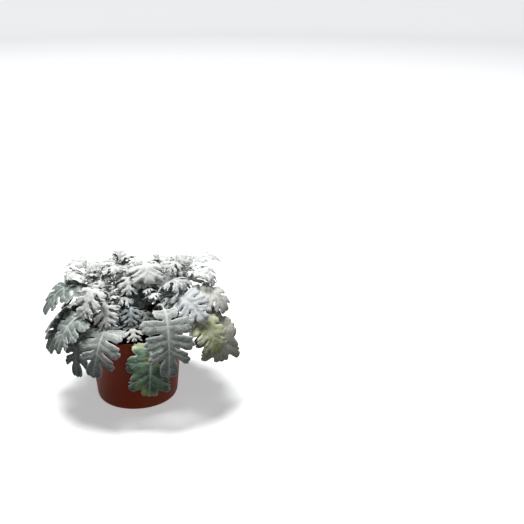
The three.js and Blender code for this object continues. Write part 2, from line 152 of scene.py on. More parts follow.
def new_piece(name, verts, faces, marks=None, uv=None):
    """A mesh object from points in millimetres. marks are numbers kept at each point, for the materials."""
    mesh = bpy.data.meshes.new(name)
    mesh.from_pydata((np.asarray(verts) * MM).tolist(), [], [tuple(f) for f in faces])
    mesh.shade_smooth()
    for label, values in (marks or {}).items():
        mesh.attributes.new(label, "FLOAT", "POINT").data.foreach_set("value", np.asarray(values, np.float32))
    if uv is not None:
        corners = np.empty(len(mesh.loops), np.int32)
        mesh.loops.foreach_get("vertex_index", corners)
        for label, columns in (("leaf", slice(0, 2)), ("streak", slice(2, 4))):
            flat = np.asarray(uv, np.float32)[corners][:, columns]
            mesh.uv_layers.new(name=label).data.foreach_set("uv", flat.ravel())
    piece = bpy.data.objects.new(name, mesh)
    bpy.context.scene.collection.objects.link(piece)
    return piece


# ---- Materials ----
def colour(hex_code):
    """An sRGB hex colour as the linear one that a shader takes."""
    parts = [int(hex_code[i : i + 2], 16) / 255 for i in (0, 2, 4)]
    return (*[c / 12.92 if c <= 0.04045 else ((c + 0.055) / 1.055) ** 2.4 for c in parts], 1)


def add(tree, kind, links=None, **settings):
    """Adds a node with its settings and links. A key in links is the name or number of one of its inputs, and
    its value is another node's output or a constant."""
    node = tree.nodes.new(kind)
    for key, value in settings.items():
        setattr(node, key, value)
    for key, value in (links or {}).items():
        if isinstance(value, bpy.types.NodeSocket):
            tree.links.new(value, node.inputs[key])
        else:
            node.inputs[key].default_value = value
    return node


def new_material(name):
    material = bpy.data.materials.new(name)
    material.use_nodes = True
    tree = material.node_tree
    return material, tree, tree.nodes["Principled BSDF"]


def blend(tree, factor, a, b, mode="MIX"):
    """The colour between a and b, by factor."""
    node = add(tree, "ShaderNodeMix", {0: factor, 6: a, 7: b}, data_type="RGBA", blend_type=mode)
    return node.outputs[2]


def ramp(tree, value, low, high):
    """value's share of the way from low to high, held to 0 and 1."""
    reach = {0: value, 1: low, 2: high}
    return add(tree, "ShaderNodeMapRange", reach, interpolation_type="SMOOTHSTEP").outputs[0]


def times(tree, a, b):
    return add(tree, "ShaderNodeMath", {0: a, 1: b}, operation="MULTIPLY").outputs[0]


def plus(tree, a, b, clamp=False):
    return add(tree, "ShaderNodeMath", {0: a, 1: b}, operation="ADD", use_clamp=clamp).outputs[0]


def clouds_at(tree, place, scale, detail, **more):
    values = {"Vector": place, "Scale": scale, "Detail": detail, **more}
    return add(tree, "ShaderNodeTexNoise", values).outputs[0]


def felted_leaf():
    """Dusty miller leaf: a grey-green blade under white felt. Old blades show green through thin, worn felt
    that clings to their veins and margins; young ones are covered thickly enough to look white."""
    material, tree, shader = new_material("felted_leaf")
    mark = {
        label: add(tree, "ShaderNodeAttribute", attribute_name=label).outputs["Fac"]
        for label in ("felt", "fresh", "cool", "vein", "margin", "under", "shade")
    }
    place = add(tree, "ShaderNodeUVMap", uv_map="leaf").outputs[0]
    mottle = clouds_at(tree, place, 9.0, 4.0, Roughness=0.62)
    patch = clouds_at(tree, place, 2.6, 2.0, Distortion=0.6)
    beside = add(tree, "ShaderNodeUVMap", uv_map="streak").outputs[0]
    streak = clouds_at(tree, beside, 75.0, 3.0, Roughness=0.6)
    lint = clouds_at(tree, place, 70.0, 3.0, Roughness=0.7)
    # the blade itself, green where the felt is thin and yellow-green where it ages
    blade = blend(tree, ramp(tree, mottle, 0.3, 0.7), colour("4d5b54"), colour("75847c"))
    patchy = plus(tree, patch, mark["fresh"])
    green = blend(tree, ramp(tree, mottle, 0.35, 0.65), colour("45614f"), colour("6b8a68"))
    yellow = blend(tree, ramp(tree, mottle, 0.35, 0.65), colour("8b9858"), colour("bcc48c"))
    fresh = blend(tree, ramp(tree, patchy, 1.17, 1.26), green, yellow)
    blade = blend(tree, ramp(tree, mark["fresh"], 0.05, 0.45), blade, fresh)
    # painted shade: the mark shade darkens the blade toward near black
    blade = blend(tree, mark["shade"], blade, colour("2b3330"))
    # felt: white, faintly blue on some leaves and cream on others
    white = blend(tree, ramp(tree, mark["cool"], 0.0, 1.0), colour("d3d5d2"), colour("b2bac6"))
    white = blend(tree, ramp(tree, mark["cool"], 0.0, -1.0), white, colour("d3cdb8"))
    combed = blend(tree, 0.5, mottle, streak)
    cover = ramp(tree, plus(tree, combed, mark["felt"]), 0.55, 1.4)
    cover = plus(tree, cover, times(tree, mark["vein"], 0.9))
    cover = plus(tree, cover, times(tree, mark["margin"], 0.62))
    cover = plus(tree, cover, times(tree, mark["under"], 0.1), clamp=True)
    tint = blend(tree, cover, blade, white)
    # painted shade on the undersides: darkened toward a deep grey-green, though their felt is white
    tint = blend(tree, times(tree, mark["under"], 0.75), tint, colour("303a35"))
    speck = ramp(tree, lint, 0.25, 0.75)
    tint = blend(tree, 0.42, tint, blend(tree, speck, colour("626a66"), colour("ffffff")), "OVERLAY")
    tree.links.new(tint, shader.inputs["Base Color"])
    shader.inputs["Roughness"].default_value = 0.92
    shader.inputs["Specular IOR Level"].default_value = 0.25
    shader.inputs["Sheen Weight"].default_value = 0.08
    shader.inputs["Sheen Roughness"].default_value = 0.5
    relief = {"Strength": 0.35, "Distance": 0.25 * MM, "Height": lint}
    relief = add(tree, "ShaderNodeBump", relief).outputs[0]
    broad = {"Strength": 0.5, "Distance": 0.8 * MM, "Height": mottle, "Normal": relief}
    tree.links.new(add(tree, "ShaderNodeBump", broad).outputs[0], shader.inputs["Normal"])
    return material


def felt_hair():
    """Dusty miller felt: its loose plant hairs, dull white, which soften the leaves' margins and stalks."""
    material, tree, shader = new_material("felt_hair")
    shader.inputs["Base Color"].default_value = colour("dfe2df")
    shader.inputs["Roughness"].default_value = 0.9
    shader.inputs["Specular IOR Level"].default_value = 0.2
    return material


def moulded_polypropylene():
    """Nursery pot plastic: red-brown polypropylene, injection moulded, half dull, with faint streaks down the
    wall where it flowed and a little soil dust low down."""
    material, tree, shader = new_material("moulded_polypropylene")
    place = add(tree, "ShaderNodeTexCoord").outputs["Object"]
    stretched = add(tree, "ShaderNodeMapping", {"Vector": place, "Scale": (1, 1, 0.12)}).outputs[0]
    streaks = clouds_at(tree, stretched, 160.0, 4.0)
    clouds = clouds_at(tree, place, 28.0, 3.0)
    grain = clouds_at(tree, place, 2200.0, 2.0)
    tint = blend(tree, ramp(tree, streaks, 0.3, 0.7), colour("8a2f0b"), colour("92350e"))
    tint = blend(tree, times(tree, ramp(tree, clouds, 0.45, 0.75), 0.3), tint, colour("5a200e"))
    height = add(tree, "ShaderNodeSeparateXYZ", {0: place}).outputs[2]
    low = add(tree, "ShaderNodeMapRange", {0: height, 1: 0.0, 2: 22 * MM, 3: 1.0, 4: 0.0}).outputs[0]
    dust = times(tree, low, ramp(tree, clouds, 0.4, 0.7))
    tint = blend(tree, times(tree, dust, 0.3), tint, colour("9a6a50"))
    tree.links.new(tint, shader.inputs["Base Color"])
    rough = add(tree, "ShaderNodeMapRange", {0: streaks, 1: 0.2, 2: 0.8, 3: 0.48, 4: 0.56}).outputs[0]
    tree.links.new(rough, shader.inputs["Roughness"])
    shader.inputs["IOR"].default_value = 1.49
    shader.inputs["Specular IOR Level"].default_value = 0.22
    fine = add(tree, "ShaderNodeBump", {"Strength": 0.12, "Distance": 0.1 * MM, "Height": grain}).outputs[0]
    flow = {"Strength": 0.05, "Distance": 0.4 * MM, "Height": streaks, "Normal": fine}
    tree.links.new(add(tree, "ShaderNodeBump", flow).outputs[0], shader.inputs["Normal"])
    return material


def potting_soil():
    """Peat potting soil: dark brown, dull, crumbled, darker in the hollows between the crumbs."""
    material, tree, shader = new_material("potting_soil")
    place = add(tree, "ShaderNodeTexCoord").outputs["Object"]
    crumbs = clouds_at(tree, place, 420.0, 5.0)
    clouds = clouds_at(tree, place, 60.0, 2.0)
    tint = blend(tree, ramp(tree, crumbs, 0.35, 0.7), colour("17100b"), colour("3f2d20"))
    tint = blend(tree, times(tree, ramp(tree, clouds, 0.5, 0.7), 0.5), tint, colour("221710"))
    tree.links.new(tint, shader.inputs["Base Color"])
    shader.inputs["Roughness"].default_value = 0.95
    shader.inputs["Specular IOR Level"].default_value = 0.2
    relief = add(tree, "ShaderNodeBump", {"Strength": 0.8, "Distance": 0.6 * MM, "Height": crumbs}).outputs[0]
    tree.links.new(relief, shader.inputs["Normal"])
    return material


LEAF = felted_leaf()
HAIR = felt_hair()
PLASTIC = moulded_polypropylene()
PEAT = potting_soil()


# ---- Pot ----
def inside_radius(z):
    return mix(BASE_RADIUS + BASE_CORNER, BODY_TOP, z / BAND_FOOT) - WALL


def rounded(profile, radius, steps=4):
    """The profile with each inner corner rounded, as far as its two sides allow."""
    points = [profile[0]]
    for before, corner, after in zip(profile, profile[1:], profile[2:]):
        a, c, b = (np.array(p, float) for p in (before, corner, after))
        reach = min(radius, 0.45 * np.linalg.norm(a - c), 0.45 * np.linalg.norm(b - c))
        start = c + unit(a - c) * reach
        end = c + unit(b - c) * reach
        points += [tuple(bezier(start, c, end, t)) for t in np.linspace(0, 1, steps + 1)]
    return points + [profile[-1]]


def lathe(profile, segments):
    """Points and faces of a turned solid. The profile starts and ends on the axis."""
    angles = np.arange(segments) * 2 * math.pi / segments
    ring = lambda r, z: np.column_stack([r * np.cos(angles), r * np.sin(angles), np.full(segments, z)])
    rings = [ring(r, z) for r, z in profile[1:-1]]
    verts = np.vstack([[[0, 0, profile[0][1]]], *rings, [[0, 0, profile[-1][1]]]])
    at = lambda k, i: 1 + k * segments + i % segments
    faces = [(0, at(0, i + 1), at(0, i)) for i in range(segments)]
    for k in range(len(rings) - 1):
        faces += [(at(k, i), at(k, i + 1), at(k + 1, i + 1), at(k + 1, i)) for i in range(segments)]
    last = len(rings) - 1
    faces += [(len(verts) - 1, at(last, i), at(last, i + 1)) for i in range(segments)]
    return verts, faces


def cut(piece, tools):
    """Cuts the tools out of the piece."""
    for tool in tools:
        modifier = piece.modifiers.new("cut", "BOOLEAN")
        modifier.object = tool
        modifier.operation = "DIFFERENCE"
        modifier.solver = "EXACT"
    result = bpy.data.meshes.new_from_object(piece.evaluated_get(bpy.context.evaluated_depsgraph_get()))
    piece.modifiers.clear()
    piece.data = result
    for tool in tools:
        bpy.data.objects.remove(tool)


def tool_solid(name, build):
    shape = bmesh.new()
    build(shape)
    mesh = bpy.data.meshes.new(name)
    shape.to_mesh(mesh)
    shape.free()
    tool = bpy.data.objects.new(name, mesh)
    bpy.context.scene.collection.objects.link(tool)
    return tool


def make_pot():
    ring_in, ring_out = DRAIN_RING
    outer = [
        (ring_in, 0), (ring_in + 1.5, DRAIN_RAISE), (ring_out - 1.5, DRAIN_RAISE), (ring_out, 0),
        (BASE_RADIUS, 0), (BASE_RADIUS + 0.7 * BASE_CORNER, 0.3 * BASE_CORNER),
        (BASE_RADIUS + BASE_CORNER, BASE_CORNER),
        (BODY_TOP, BAND_FOOT - 0.6), (RIM_RADIUS - 0.8, BAND_FOOT + 0.4), (RIM_RADIUS, POT_HEIGHT),
        (RIM_RADIUS - WALL - 0.3, POT_HEIGHT), (RIM_RADIUS - WALL - 1, BAND_FOOT + 0.8),
        (inside_radius(BAND_FOOT - 1), BAND_FOOT - 1), (inside_radius(BASE_CORNER), BASE_CORNER + 0.6),
        (BASE_RADIUS - 0.6, FLOOR),
    ]
    profile = rounded([(0, 0), *outer, (0, FLOOR)], 1.1)
    verts, faces = lathe(profile, POT_SEGMENTS)
    pot = new_piece("pot_moulded", verts, faces)
    middle = (ring_in + ring_out) / 2
    tools = []
    for i in range(DRAIN_COUNT):
        a = 2 * math.pi * (i + 0.5) / DRAIN_COUNT

        def hole(shape):
            radius = DRAIN_RADIUS * MM
            bmesh.ops.create_cone(
                shape, cap_ends=True, segments=32, radius1=radius, radius2=radius, depth=8 * MM
            )
            place = Vector((middle * math.cos(a), middle * math.sin(a), DRAIN_RAISE)) * MM
            bmesh.ops.translate(shape, verts=shape.verts, vec=place)

        tools.append(tool_solid("drain_hole", hole))
    for i in range(FOOT_NOTCHES):
        a = 2 * math.pi * (i + 0.5) / FOOT_NOTCHES

        def notch(shape):
            bmesh.ops.create_cube(shape, size=1)
            bmesh.ops.scale(shape, verts=shape.verts, vec=(16 * MM, 6 * MM, 2.4 * MM))
            bmesh.ops.translate(shape, verts=shape.verts, vec=((ring_out + 6) * MM, 0, 0))
            turn = ((math.cos(a), -math.sin(a), 0), (math.sin(a), math.cos(a), 0), (0, 0, 1))
            bmesh.ops.transform(shape, matrix=Matrix(turn).to_4x4(), verts=shape.verts)

        tools.append(tool_solid("foot_notch", notch))
    cut(pot, tools)
    pot.data.shade_smooth()
    pot.data.set_sharp_from_angle(angle=math.radians(50))
    pot.data.materials.clear()
    pot.data.materials.append(PLASTIC)
    return pot


# ---- Soil ----
def soil_top(r, angle):
    broad = math.sin(3 * angle + 0.9) + 0.7 * math.sin(5 * angle + r / 6)
    fine = 0.6 * math.cos(r / 4.5 + 2 * angle)
    return SOIL_TOP + 0.75 * (broad + fine) + 1.6 * (1 - r / RIM_RADIUS)


def make_soil():
    segments = SOIL_SEGMENTS
    edge = inside_radius(BAND_FOOT) - GAP
    radii = np.arange(SOIL_STEP, edge, SOIL_STEP)
    angles = np.arange(segments) * 2 * math.pi / segments
    verts = [(0, 0, soil_top(0, 0))]
    for r in [*radii, edge]:
        for a in angles:
            x, y = r * math.cos(a), r * math.sin(a)
            clod = noise.noise(Vector((x, y, 3)) / 5) + 0.6 * noise.noise(Vector((x, y, 9)) / 2.1)
            verts.append((x, y, soil_top(r, a) + 1.1 * clod))
    lower = [
        (edge - 0.4, BAND_FOOT - 4), (inside_radius(BASE_CORNER) - GAP, BASE_CORNER + 1.2),
        (BASE_RADIUS - 1.6, FLOOR + GAP),
    ]
    for r, z in lower:
        verts += [(r * math.cos(a), r * math.sin(a), z) for a in angles]
    verts.append((0, 0, FLOOR + GAP))
    rings = len(radii) + 1 + len(lower)
    at = lambda k, i: 1 + k * segments + i % segments
    faces = [(0, at(0, i), at(0, i + 1)) for i in range(segments)]
    for k in range(rings - 1):
        faces += [(at(k, i), at(k + 1, i), at(k + 1, i + 1), at(k, i + 1)) for i in range(segments)]
    faces += [(len(verts) - 1, at(rings - 1, i + 1), at(rings - 1, i)) for i in range(segments)]
    loose = [float(z > SOIL_TOP - 4 and math.hypot(x, y) < edge - 2.5) for x, y, z in verts]
    soil = new_piece("potting_soil", verts, faces, dict(loose=loose))
    soil.data.materials.append(PEAT)
    return soil


# ---- Leaf outlines ----
WIDE_LOBE = [(0.62, -0.95), (0.95, -0.8), (1.0, 0.32), (0.76, 0.95)]
SHALLOW_LOBE = [(0.84, -0.9), (0.97, -0.5), (1.0, 0.4), (0.86, 0.9)]
ROUND_LOBE = [(0.88, -0.64), (1.0, 0.04), (0.88, 0.7)]
NARROW_LOBE = [(0.93, -0.6), (0.96, 0.58)]
WIDE_END = [(0.36, 0.32), (0.32, 0.84)]
NARROW_END = [(0.24, 0.42), (0.16, 0.86)]

# Each lobe: where its vein leaves the midrib (share of the blade), its angle to the midrib, and its reach.
# teeth and notch are the rounded teeth at a lobe's end, and how deep the notches between them are (share of
# the lobe's reach). gap is half the opening between two lobes, and drop what it widens by at its foot (shares
# of the space between two veins).
LEAF_SHAPES = {
    "oak": dict(
        lobes=[(0.07, 112, 0.52), (0.25, 90, 1), (0.44, 75, 0.97), (0.58, 60, 0.82)],
        cut=0.7, half=0.43, lobe=WIDE_LOBE, end=WIDE_END, teeth=3, notch=0.12, gap=0.015, drop=0.08,
    ),
    "broad": dict(
        lobes=[(0.08, 104, 0.62), (0.27, 85, 1), (0.47, 71, 0.94), (0.63, 58, 0.7)],
        cut=0.46, half=0.45, lobe=WIDE_LOBE, end=WIDE_END, teeth=3, notch=0.1, gap=0.035, drop=0.07,
    ),
    "round": dict(
        lobes=[(0.1, 104, 0.82), (0.33, 80, 1), (0.56, 60, 0.9)],
        cut=0.22, half=0.5, lobe=SHALLOW_LOBE, end=WIDE_END, teeth=3, notch=0.11, gap=0.02, drop=0.03,
    ),
    "feather": dict(
        lobes=[(0.1, 82, 0.62), (0.3, 72, 1), (0.52, 62, 0.95), (0.71, 52, 0.68)],
        cut=0.76, half=0.42, lobe=ROUND_LOBE, end=NARROW_END, teeth=2, notch=0.28, gap=0.06, drop=0.22,
    ),
    "young": dict(
        lobes=[(0.14, 74, 0.76), (0.38, 63, 1), (0.62, 52, 0.82)],
        cut=0.7, half=0.45, lobe=NARROW_LOBE, end=NARROW_END, teeth=2, notch=0.3, gap=0.06, drop=0.2,
    ),
    "bud": dict(
        lobes=[(0.2, 62, 0.85), (0.52, 50, 1)],
        cut=0.6, half=0.36, lobe=NARROW_LOBE, end=NARROW_END, teeth=2, notch=0.15, gap=0.1, drop=0.0,
    ),
}


def smooth_line(points, spacing):
    """A smooth line through the points: its samples, and for each one the number of the point before it."""
    points = np.asarray(points, float)
    ends = [2 * points[0] - points[1], *points, 2 * points[-1] - points[-2]]
    samples, marks = [], []
    for k in range(len(points) - 1):
        a, b, c, d = ends[k : k + 4]
        steps = [max(1e-6, np.linalg.norm(q - p)) ** 0.5 for p, q in ((a, b), (b, c), (c, d))]
        knots = np.cumsum([0, *steps])
        count = max(2, math.ceil(np.linalg.norm(c - b) / spacing))
        t = np.linspace(knots[1], knots[2], count, endpoint=False)[:, None]
        level = lambda p, q, lo, hi: ((hi - t) * p + (t - lo) * q) / (hi - lo)
        ab, bc = level(a, b, knots[0], knots[1]), level(b, c, knots[1], knots[2])
        cd = level(c, d, knots[2], knots[3])
        abc, bcd = level(ab, bc, knots[0], knots[2]), level(bc, cd, knots[1], knots[3])
        samples.append(level(abc, bcd, knots[1], knots[2]))
        marks += [k] * count
    samples.append(points[-1:])
    marks.append(len(points) - 1)
    return np.vstack(samples), np.array(marks)


def inward_of(outline):
    """The flat direction square to the outline, into the leaf, at each of its points."""
    ahead = np.roll(outline, -1, axis=0) - np.roll(outline, 1, axis=0)
    return unit(np.column_stack([-ahead[:, 1], ahead[:, 0]]))


def flat_leaf(leaf, length):
    """A leaf laid flat: across is u and along is v, counted from the root of the petiole. Returns its outline
    and its veins."""
    shape = LEAF_SHAPES[leaf["shape"]]
    start = length * leaf["petiole"]
    blade = length - start
    half = shape["half"] * blade * leaf["wide"]
    rib = 0.9 + 0.012 * length
    stalk = 0.85 + 0.009 * length
    lobes = shape["lobes"]
    count = len(lobes)
    last_along = lobes[-1][0]
    step = last_along - lobes[-2][0]

    def opening(away, neck, reach):
        """Half the width of a cut, at that distance from the midrib."""
        share = (away - neck) / max(1.0, reach - neck)
        foot = smoothstep(share, 0, 0.16) * (1 - smoothstep(share, 0.25, 0.8))
        return 0.1 + step * blade * (shape["gap"] * smoothstep(share, -0.02, 0.2) + shape["drop"] * foot)

    veins = [("rib", [(0, 0.4 * start), (0, length - 0.06 * blade)])]
    sides = []
    for side in (1, -1):
        vary = lambda i, amount: amount * (draw(leaf["seed"], 10 * i + side) - 0.5)
        angles = [angle + vary(i, 7) for i, (_, angle, _) in enumerate(lobes)]
        reaches = [half * reach * (1 + vary(i + 5, 0.16)) for i, (_, _, reach) in enumerate(lobes)]
        cuts = []
        for i, (along, _, _) in enumerate(lobes):
            below = lobes[i - 1][0] if i else along - step
            angle = (angles[i] + angles[i - 1]) / 2 if i else angles[0] + 4
            cuts.append((start + blade * (along + below) / 2, angle))
        cuts.append((start + blade * (last_along + step / 2), angles[-1] - 6))
        on_cut = lambda k, u, cuts=cuts: cuts[k][0] + u / math.tan(math.radians(cuts[k][1]))
        points = [(stalk, start * s) for s in (0, 0.5, 0.95)]
        breaks = [len(points) - 1]
        necks = []
        for i in range(count):
            for a, b in shape["lobe"]:
                u = a * reaches[i]
                points.append((u, mix(on_cut(i, u), on_cut(i + 1, u), 0.5 + 0.46 * b)))
            beside = min(reaches[i], reaches[i + 1]) if i + 1 < count else reaches[i]
            neck = max(stalk, beside * (1 - leaf.get("cut", shape["cut"])))
            breaks.append(len(points))
            points.append((neck, on_cut(i + 1, neck)))
            necks.append((neck, beside))
        for a, b in shape["end"]:
            points.append((a * half, mix(on_cut(count, a * half), length, b)))
        sides.append(dict(points=points, breaks=breaks, on_cut=on_cut, reaches=reaches, necks=necks))
        for i, (along, _, _) in enumerate(lobes):
            foot, lean = start + blade * along, 1 / math.tan(math.radians(angles[i]))
            reach = 0.86 * reaches[i]
            veins.append(("lateral", [(0, foot), (side * 0.86 * reaches[i], foot + reach * lean)]))
            for share, turn in ((0.36, 30), (0.5, -28), (0.66, 24)):
                u = share * reaches[i]
                way = math.radians(angles[i] + turn)
                reach = 0.3 * reaches[i]
                v = foot + u * lean
                twig = [(side * u, v), (side * (u + reach * math.sin(way)), v + reach * math.cos(way))]
                veins.append(("twig", twig))
        foot = start + blade * (last_along + 0.5 * step)
        reach = 0.5 * (length - foot)
        twig = [(0, foot), (side * reach * math.sin(0.7), foot + reach * math.cos(0.7))]
        veins.append(("twig", twig))
    right, left = sides
    chain = [*right["points"], (0, length), *[(-u, v) for u, v in reversed(left["points"])]]
    samples, marks = smooth_line(chain, leaf["fine"])
    # the outline falls into arcs between the cuts
    size = len(chain)
    arcs = [*right["breaks"], *[size - 1 - b for b in reversed(left["breaks"])]]
    outline = samples.copy()
    inward = inward_of(samples)
    for n, (first, last) in enumerate(zip(arcs, arcs[1:])):
        here = np.where((marks >= first) & (marks < last))[0]
        travel = np.concatenate([[0], np.cumsum(np.linalg.norm(np.diff(samples[here], axis=0), axis=1))])
        share = travel / travel[-1]
        is_end = n == count
        i = n if n < count else 2 * count - n
        reach = 0.6 * half if is_end else (right if n < count else left)["reaches"][i]
        teeth = 3 if is_end and shape["teeth"] > 2 else shape["teeth"]
        spare = 0.3 if is_end else 0.24
        q = np.clip((share - spare) / (1 - 2 * spare), 0, 1)
        notches = 1 - np.abs(np.sin(math.pi * teeth * q)) ** 0.75
        window = smoothstep(q, 0, 0.5 / teeth) * smoothstep(1 - q, 0, 0.5 / teeth)
        depth = shape["notch"] * reach * (0.75 + 0.5 * draw(leaf["seed"], 31 + n))
        outline[here] += inward[here] * (depth * notches * window)[:, None]
        side = right if n < count else left
        for k in here[1:]:
            u, v = outline[k]
            side = (right if u > 0 else left) if is_end else side
            away = abs(u)
            tipward = None if is_end else side["on_cut"](i + 1, away) - opening(away, *side["necks"][i])
            rootward = side["on_cut"](i, away) + opening(away, *side["necks"][i - 1]) if i else None
            if tipward is not None:
                v = min(v, tipward)
            if rootward is not None:
                v = max(v, rootward)
            outline[k, 1] = v
    return dict(
        outline=outline, veins=veins, start=start, blade=blade, half=half, rib=rib, stalk=stalk, length=length
    )


def to_lines(points, lines):
    """Distance from each point to the nearest of the lines, each given by its two ends."""
    nearest = np.full(len(points), 1e9)
    for a, b in lines:
        a, b = np.asarray(a, float), np.asarray(b, float)
        along = b - a
        share = np.clip((points - a) @ along / max(1e-9, along @ along), 0, 1)
        nearest = np.minimum(nearest, np.linalg.norm(points - a - share[:, None] * along, axis=1))
    return nearest


def to_outline(points, outline):
    """Distance from each point to the outline, and whether the point is inside it."""
    a, b = outline, np.roll(outline, -1, axis=0)
    along = b - a
    gap = points[:, None, :] - a[None]
    share = np.clip((gap * along).sum(2) / np.maximum(1e-12, (along**2).sum(1)), 0, 1)
    distance = np.linalg.norm(gap - share[..., None] * along, axis=2).min(1)
    y, x = points[:, 1][:, None], points[:, 0][:, None]
    crosses = (a[:, 1] > y) != (b[:, 1] > y)
    slope = np.where(along[:, 1] == 0, 1, along[:, 1])
    at = a[:, 0] + (y - a[:, 1]) * along[:, 0] / slope
    inside = (crosses & (x < at)).sum(1) % 2 == 1
    return distance, inside


def triangulate(points, count):
    """The leaf's points and triangles. The first "count" points run round its outline."""
    edges = [(k, (k + 1) % count) for k in range(count)]
    verts, _, faces, *_ = delaunay_2d_cdt([Vector(p) for p in points], edges, [], 1, 1e-5)
    return np.array([tuple(v) for v in verts]), [tuple(f) for f in faces]


def leaf_net(flat, fine):
    """The flat leaf as triangles: points on its outline, just inside it, along its veins, and all over it."""
    outline = flat["outline"]
    low, high = outline.min(0), outline.max(0)
    rows = np.arange(low[1], high[1], fine * 0.87)
    net = []
    for k, v in enumerate(rows):
        across = np.arange(low[0] + fine / 2 * (k % 2), high[0], fine)
        net.append(np.column_stack([across, np.full(len(across), v)]))
    net = np.vstack(net)
    along_veins = []
    for kind, (a, b) in flat["veins"]:
        a, b = np.asarray(a, float), np.asarray(b, float)
        count = max(2, int(np.linalg.norm(b - a) / fine))
        line = a + (b - a) * np.linspace(0, 1, count)[:, None]
        along_veins.append(line)
        if kind == "rib":
            for off in (-0.75, 0.75):
                along_veins.append(line + np.array([off * min(1.0, flat["stalk"]), 0]))
    lines = [line for _, line in flat["veins"]]
    ring = outline + 0.42 * inward_of(outline)
    distance, inside = to_outline(ring, outline)
    ring = ring[inside & (distance > 0.33)]
    veins = np.vstack(along_veins)
    distance, inside = to_outline(veins, outline)
    veins = veins[inside & (distance > 0.6)]
    distance, inside = to_outline(net, outline)
    clear = inside & (distance > 0.42 + 0.45 * fine)
    net = net[clear]
    net = net[to_lines(net, lines) > 0.5 * fine]
    points = np.vstack([outline, ring, veins, net])
    # drop points that crowd one another
    tree = KDTree(len(points))
    for k, (u, v) in enumerate(points):
        tree.insert((u, v, 0), k)
    tree.balance()
    kept = np.zeros(len(points), bool)
    kept[: len(outline)] = True
    for k in range(len(outline), len(points)):
        u, v = points[k]
        if all(not kept[j] for _, j, _ in tree.find_range((u, v, 0), 0.3) if j != k):
            kept[k] = True
    return triangulate(points[kept], len(outline))


# ---- Leaf in space ----
TURNS = [0, 5, -5, 10, -10, 17, -17, 25, -25]
LIFTS = [0, 4, -4, 8, -8]
STRETCHES = [0, -0.15, -0.3]
BEND_CLEAR = sorted(
    [(turn, stretch, lift) for turn in TURNS for lift in LIFTS for stretch in STRETCHES],
    key=lambda b: abs(b[0]) / 5 + abs(b[2]) / 4 - 8 * b[1],
)


def stem_point(shoot, share):
    x, y = shoot["foot"]
    foot, tip = np.array([x, y, SOIL_TOP], float), np.array(shoot["tip"], float)
    return bezier(foot, np.array([x, y, mix(SOIL_TOP, tip[2], 0.55)]), tip, share)


def leaf_course(shoot, leaf, bend):
    """The line that a leaf's midrib follows: its three handles, and its length at each share of the way."""
    turn, stretch, lift = bend
    root = stem_point(shoot, leaf["at"])
    away = np.array([leaf["tip"][0] - root[0], leaf["tip"][1] - root[1], 0])
    root = root + unit(away) * ROOT_SET * shoot["girth"]
    c, s = math.cos(math.radians(turn)), math.sin(math.radians(turn))

    def moved(point):
        x, y, z = np.array(point, float) - root
        return root + np.array([(c * x - s * y) * (1 + stretch), (s * x + c * y) * (1 + stretch), z + lift])

    over, tip = moved(leaf["over"]), moved(leaf["tip"])
    handle = 2 * over - 0.5 * root - 0.5 * tip
    shares = np.linspace(0, 1, 201)
    line = bezier(root, handle, tip, shares)
    travel = np.concatenate([[0], np.cumsum(np.linalg.norm(np.diff(line, axis=0), axis=1))])
    bearing = math.atan2(tip[1] - root[1], tip[0] - root[0])
    line = dict(root=root, handle=handle, tip=tip, shares=shares, travel=travel)
    return dict(line, bearing=bearing, length=travel[-1])


def bent(leaf, course, flat, points, rise=0.0):
    """Places of flat points (u, v) on the bent leaf, raised by "rise" off its middle."""
    u, v = points[:, 0], points[:, 1]
    length = course["length"]
    t = np.interp(np.minimum(v, length), course["travel"], course["shares"])
    a, b, c = course["root"], course["handle"], course["tip"]
    along = unit(2 * (1 - t)[:, None] * (b - a) + 2 * t[:, None] * (c - b))
    centre = bezier(a, b, c, t) + along * np.maximum(0, v - length)[:, None]
    across = np.array([math.sin(course["bearing"]), -math.cos(course["bearing"]), 0])
    side = unit(across - along * (along @ across)[:, None])
    up = np.cross(side, along)
    spread = smoothstep(v, 0.5 * flat["start"], flat["start"] + 0.2 * flat["blade"])
    roll = math.radians(leaf["roll"]) * spread
    cosine, sine = np.cos(roll)[:, None], np.sin(roll)[:, None]
    side, up = side * cosine + np.cross(along, side) * sine, up * cosine + np.cross(along, up) * sine
    out = np.abs(u) / flat["half"]
    phase = np.where(u > 0, 0, 2) + 6.28 * draw(leaf["seed"], 3)
    ripple = np.sin(6.5 * (v - flat["start"]) / flat["blade"] + phase)
    height = spread * flat["half"] * out * (leaf["fold"] - leaf["curl"] * out + leaf["wave"] * ripple)
    shrink = 1 / np.sqrt(1 + (spread * (leaf["fold"] - leaf["curl"] * out)) ** 2)
    return centre + side * (u * shrink)[:, None] + up * (height + rise)[:, None]


# How strongly a blade swells between its veins and rolls down at its margin, in millimetres
PUFF = {"oak": 1.1, "broad": 1.2, "round": 1.4, "feather": 2.4, "young": 2.9, "bud": 2.2}


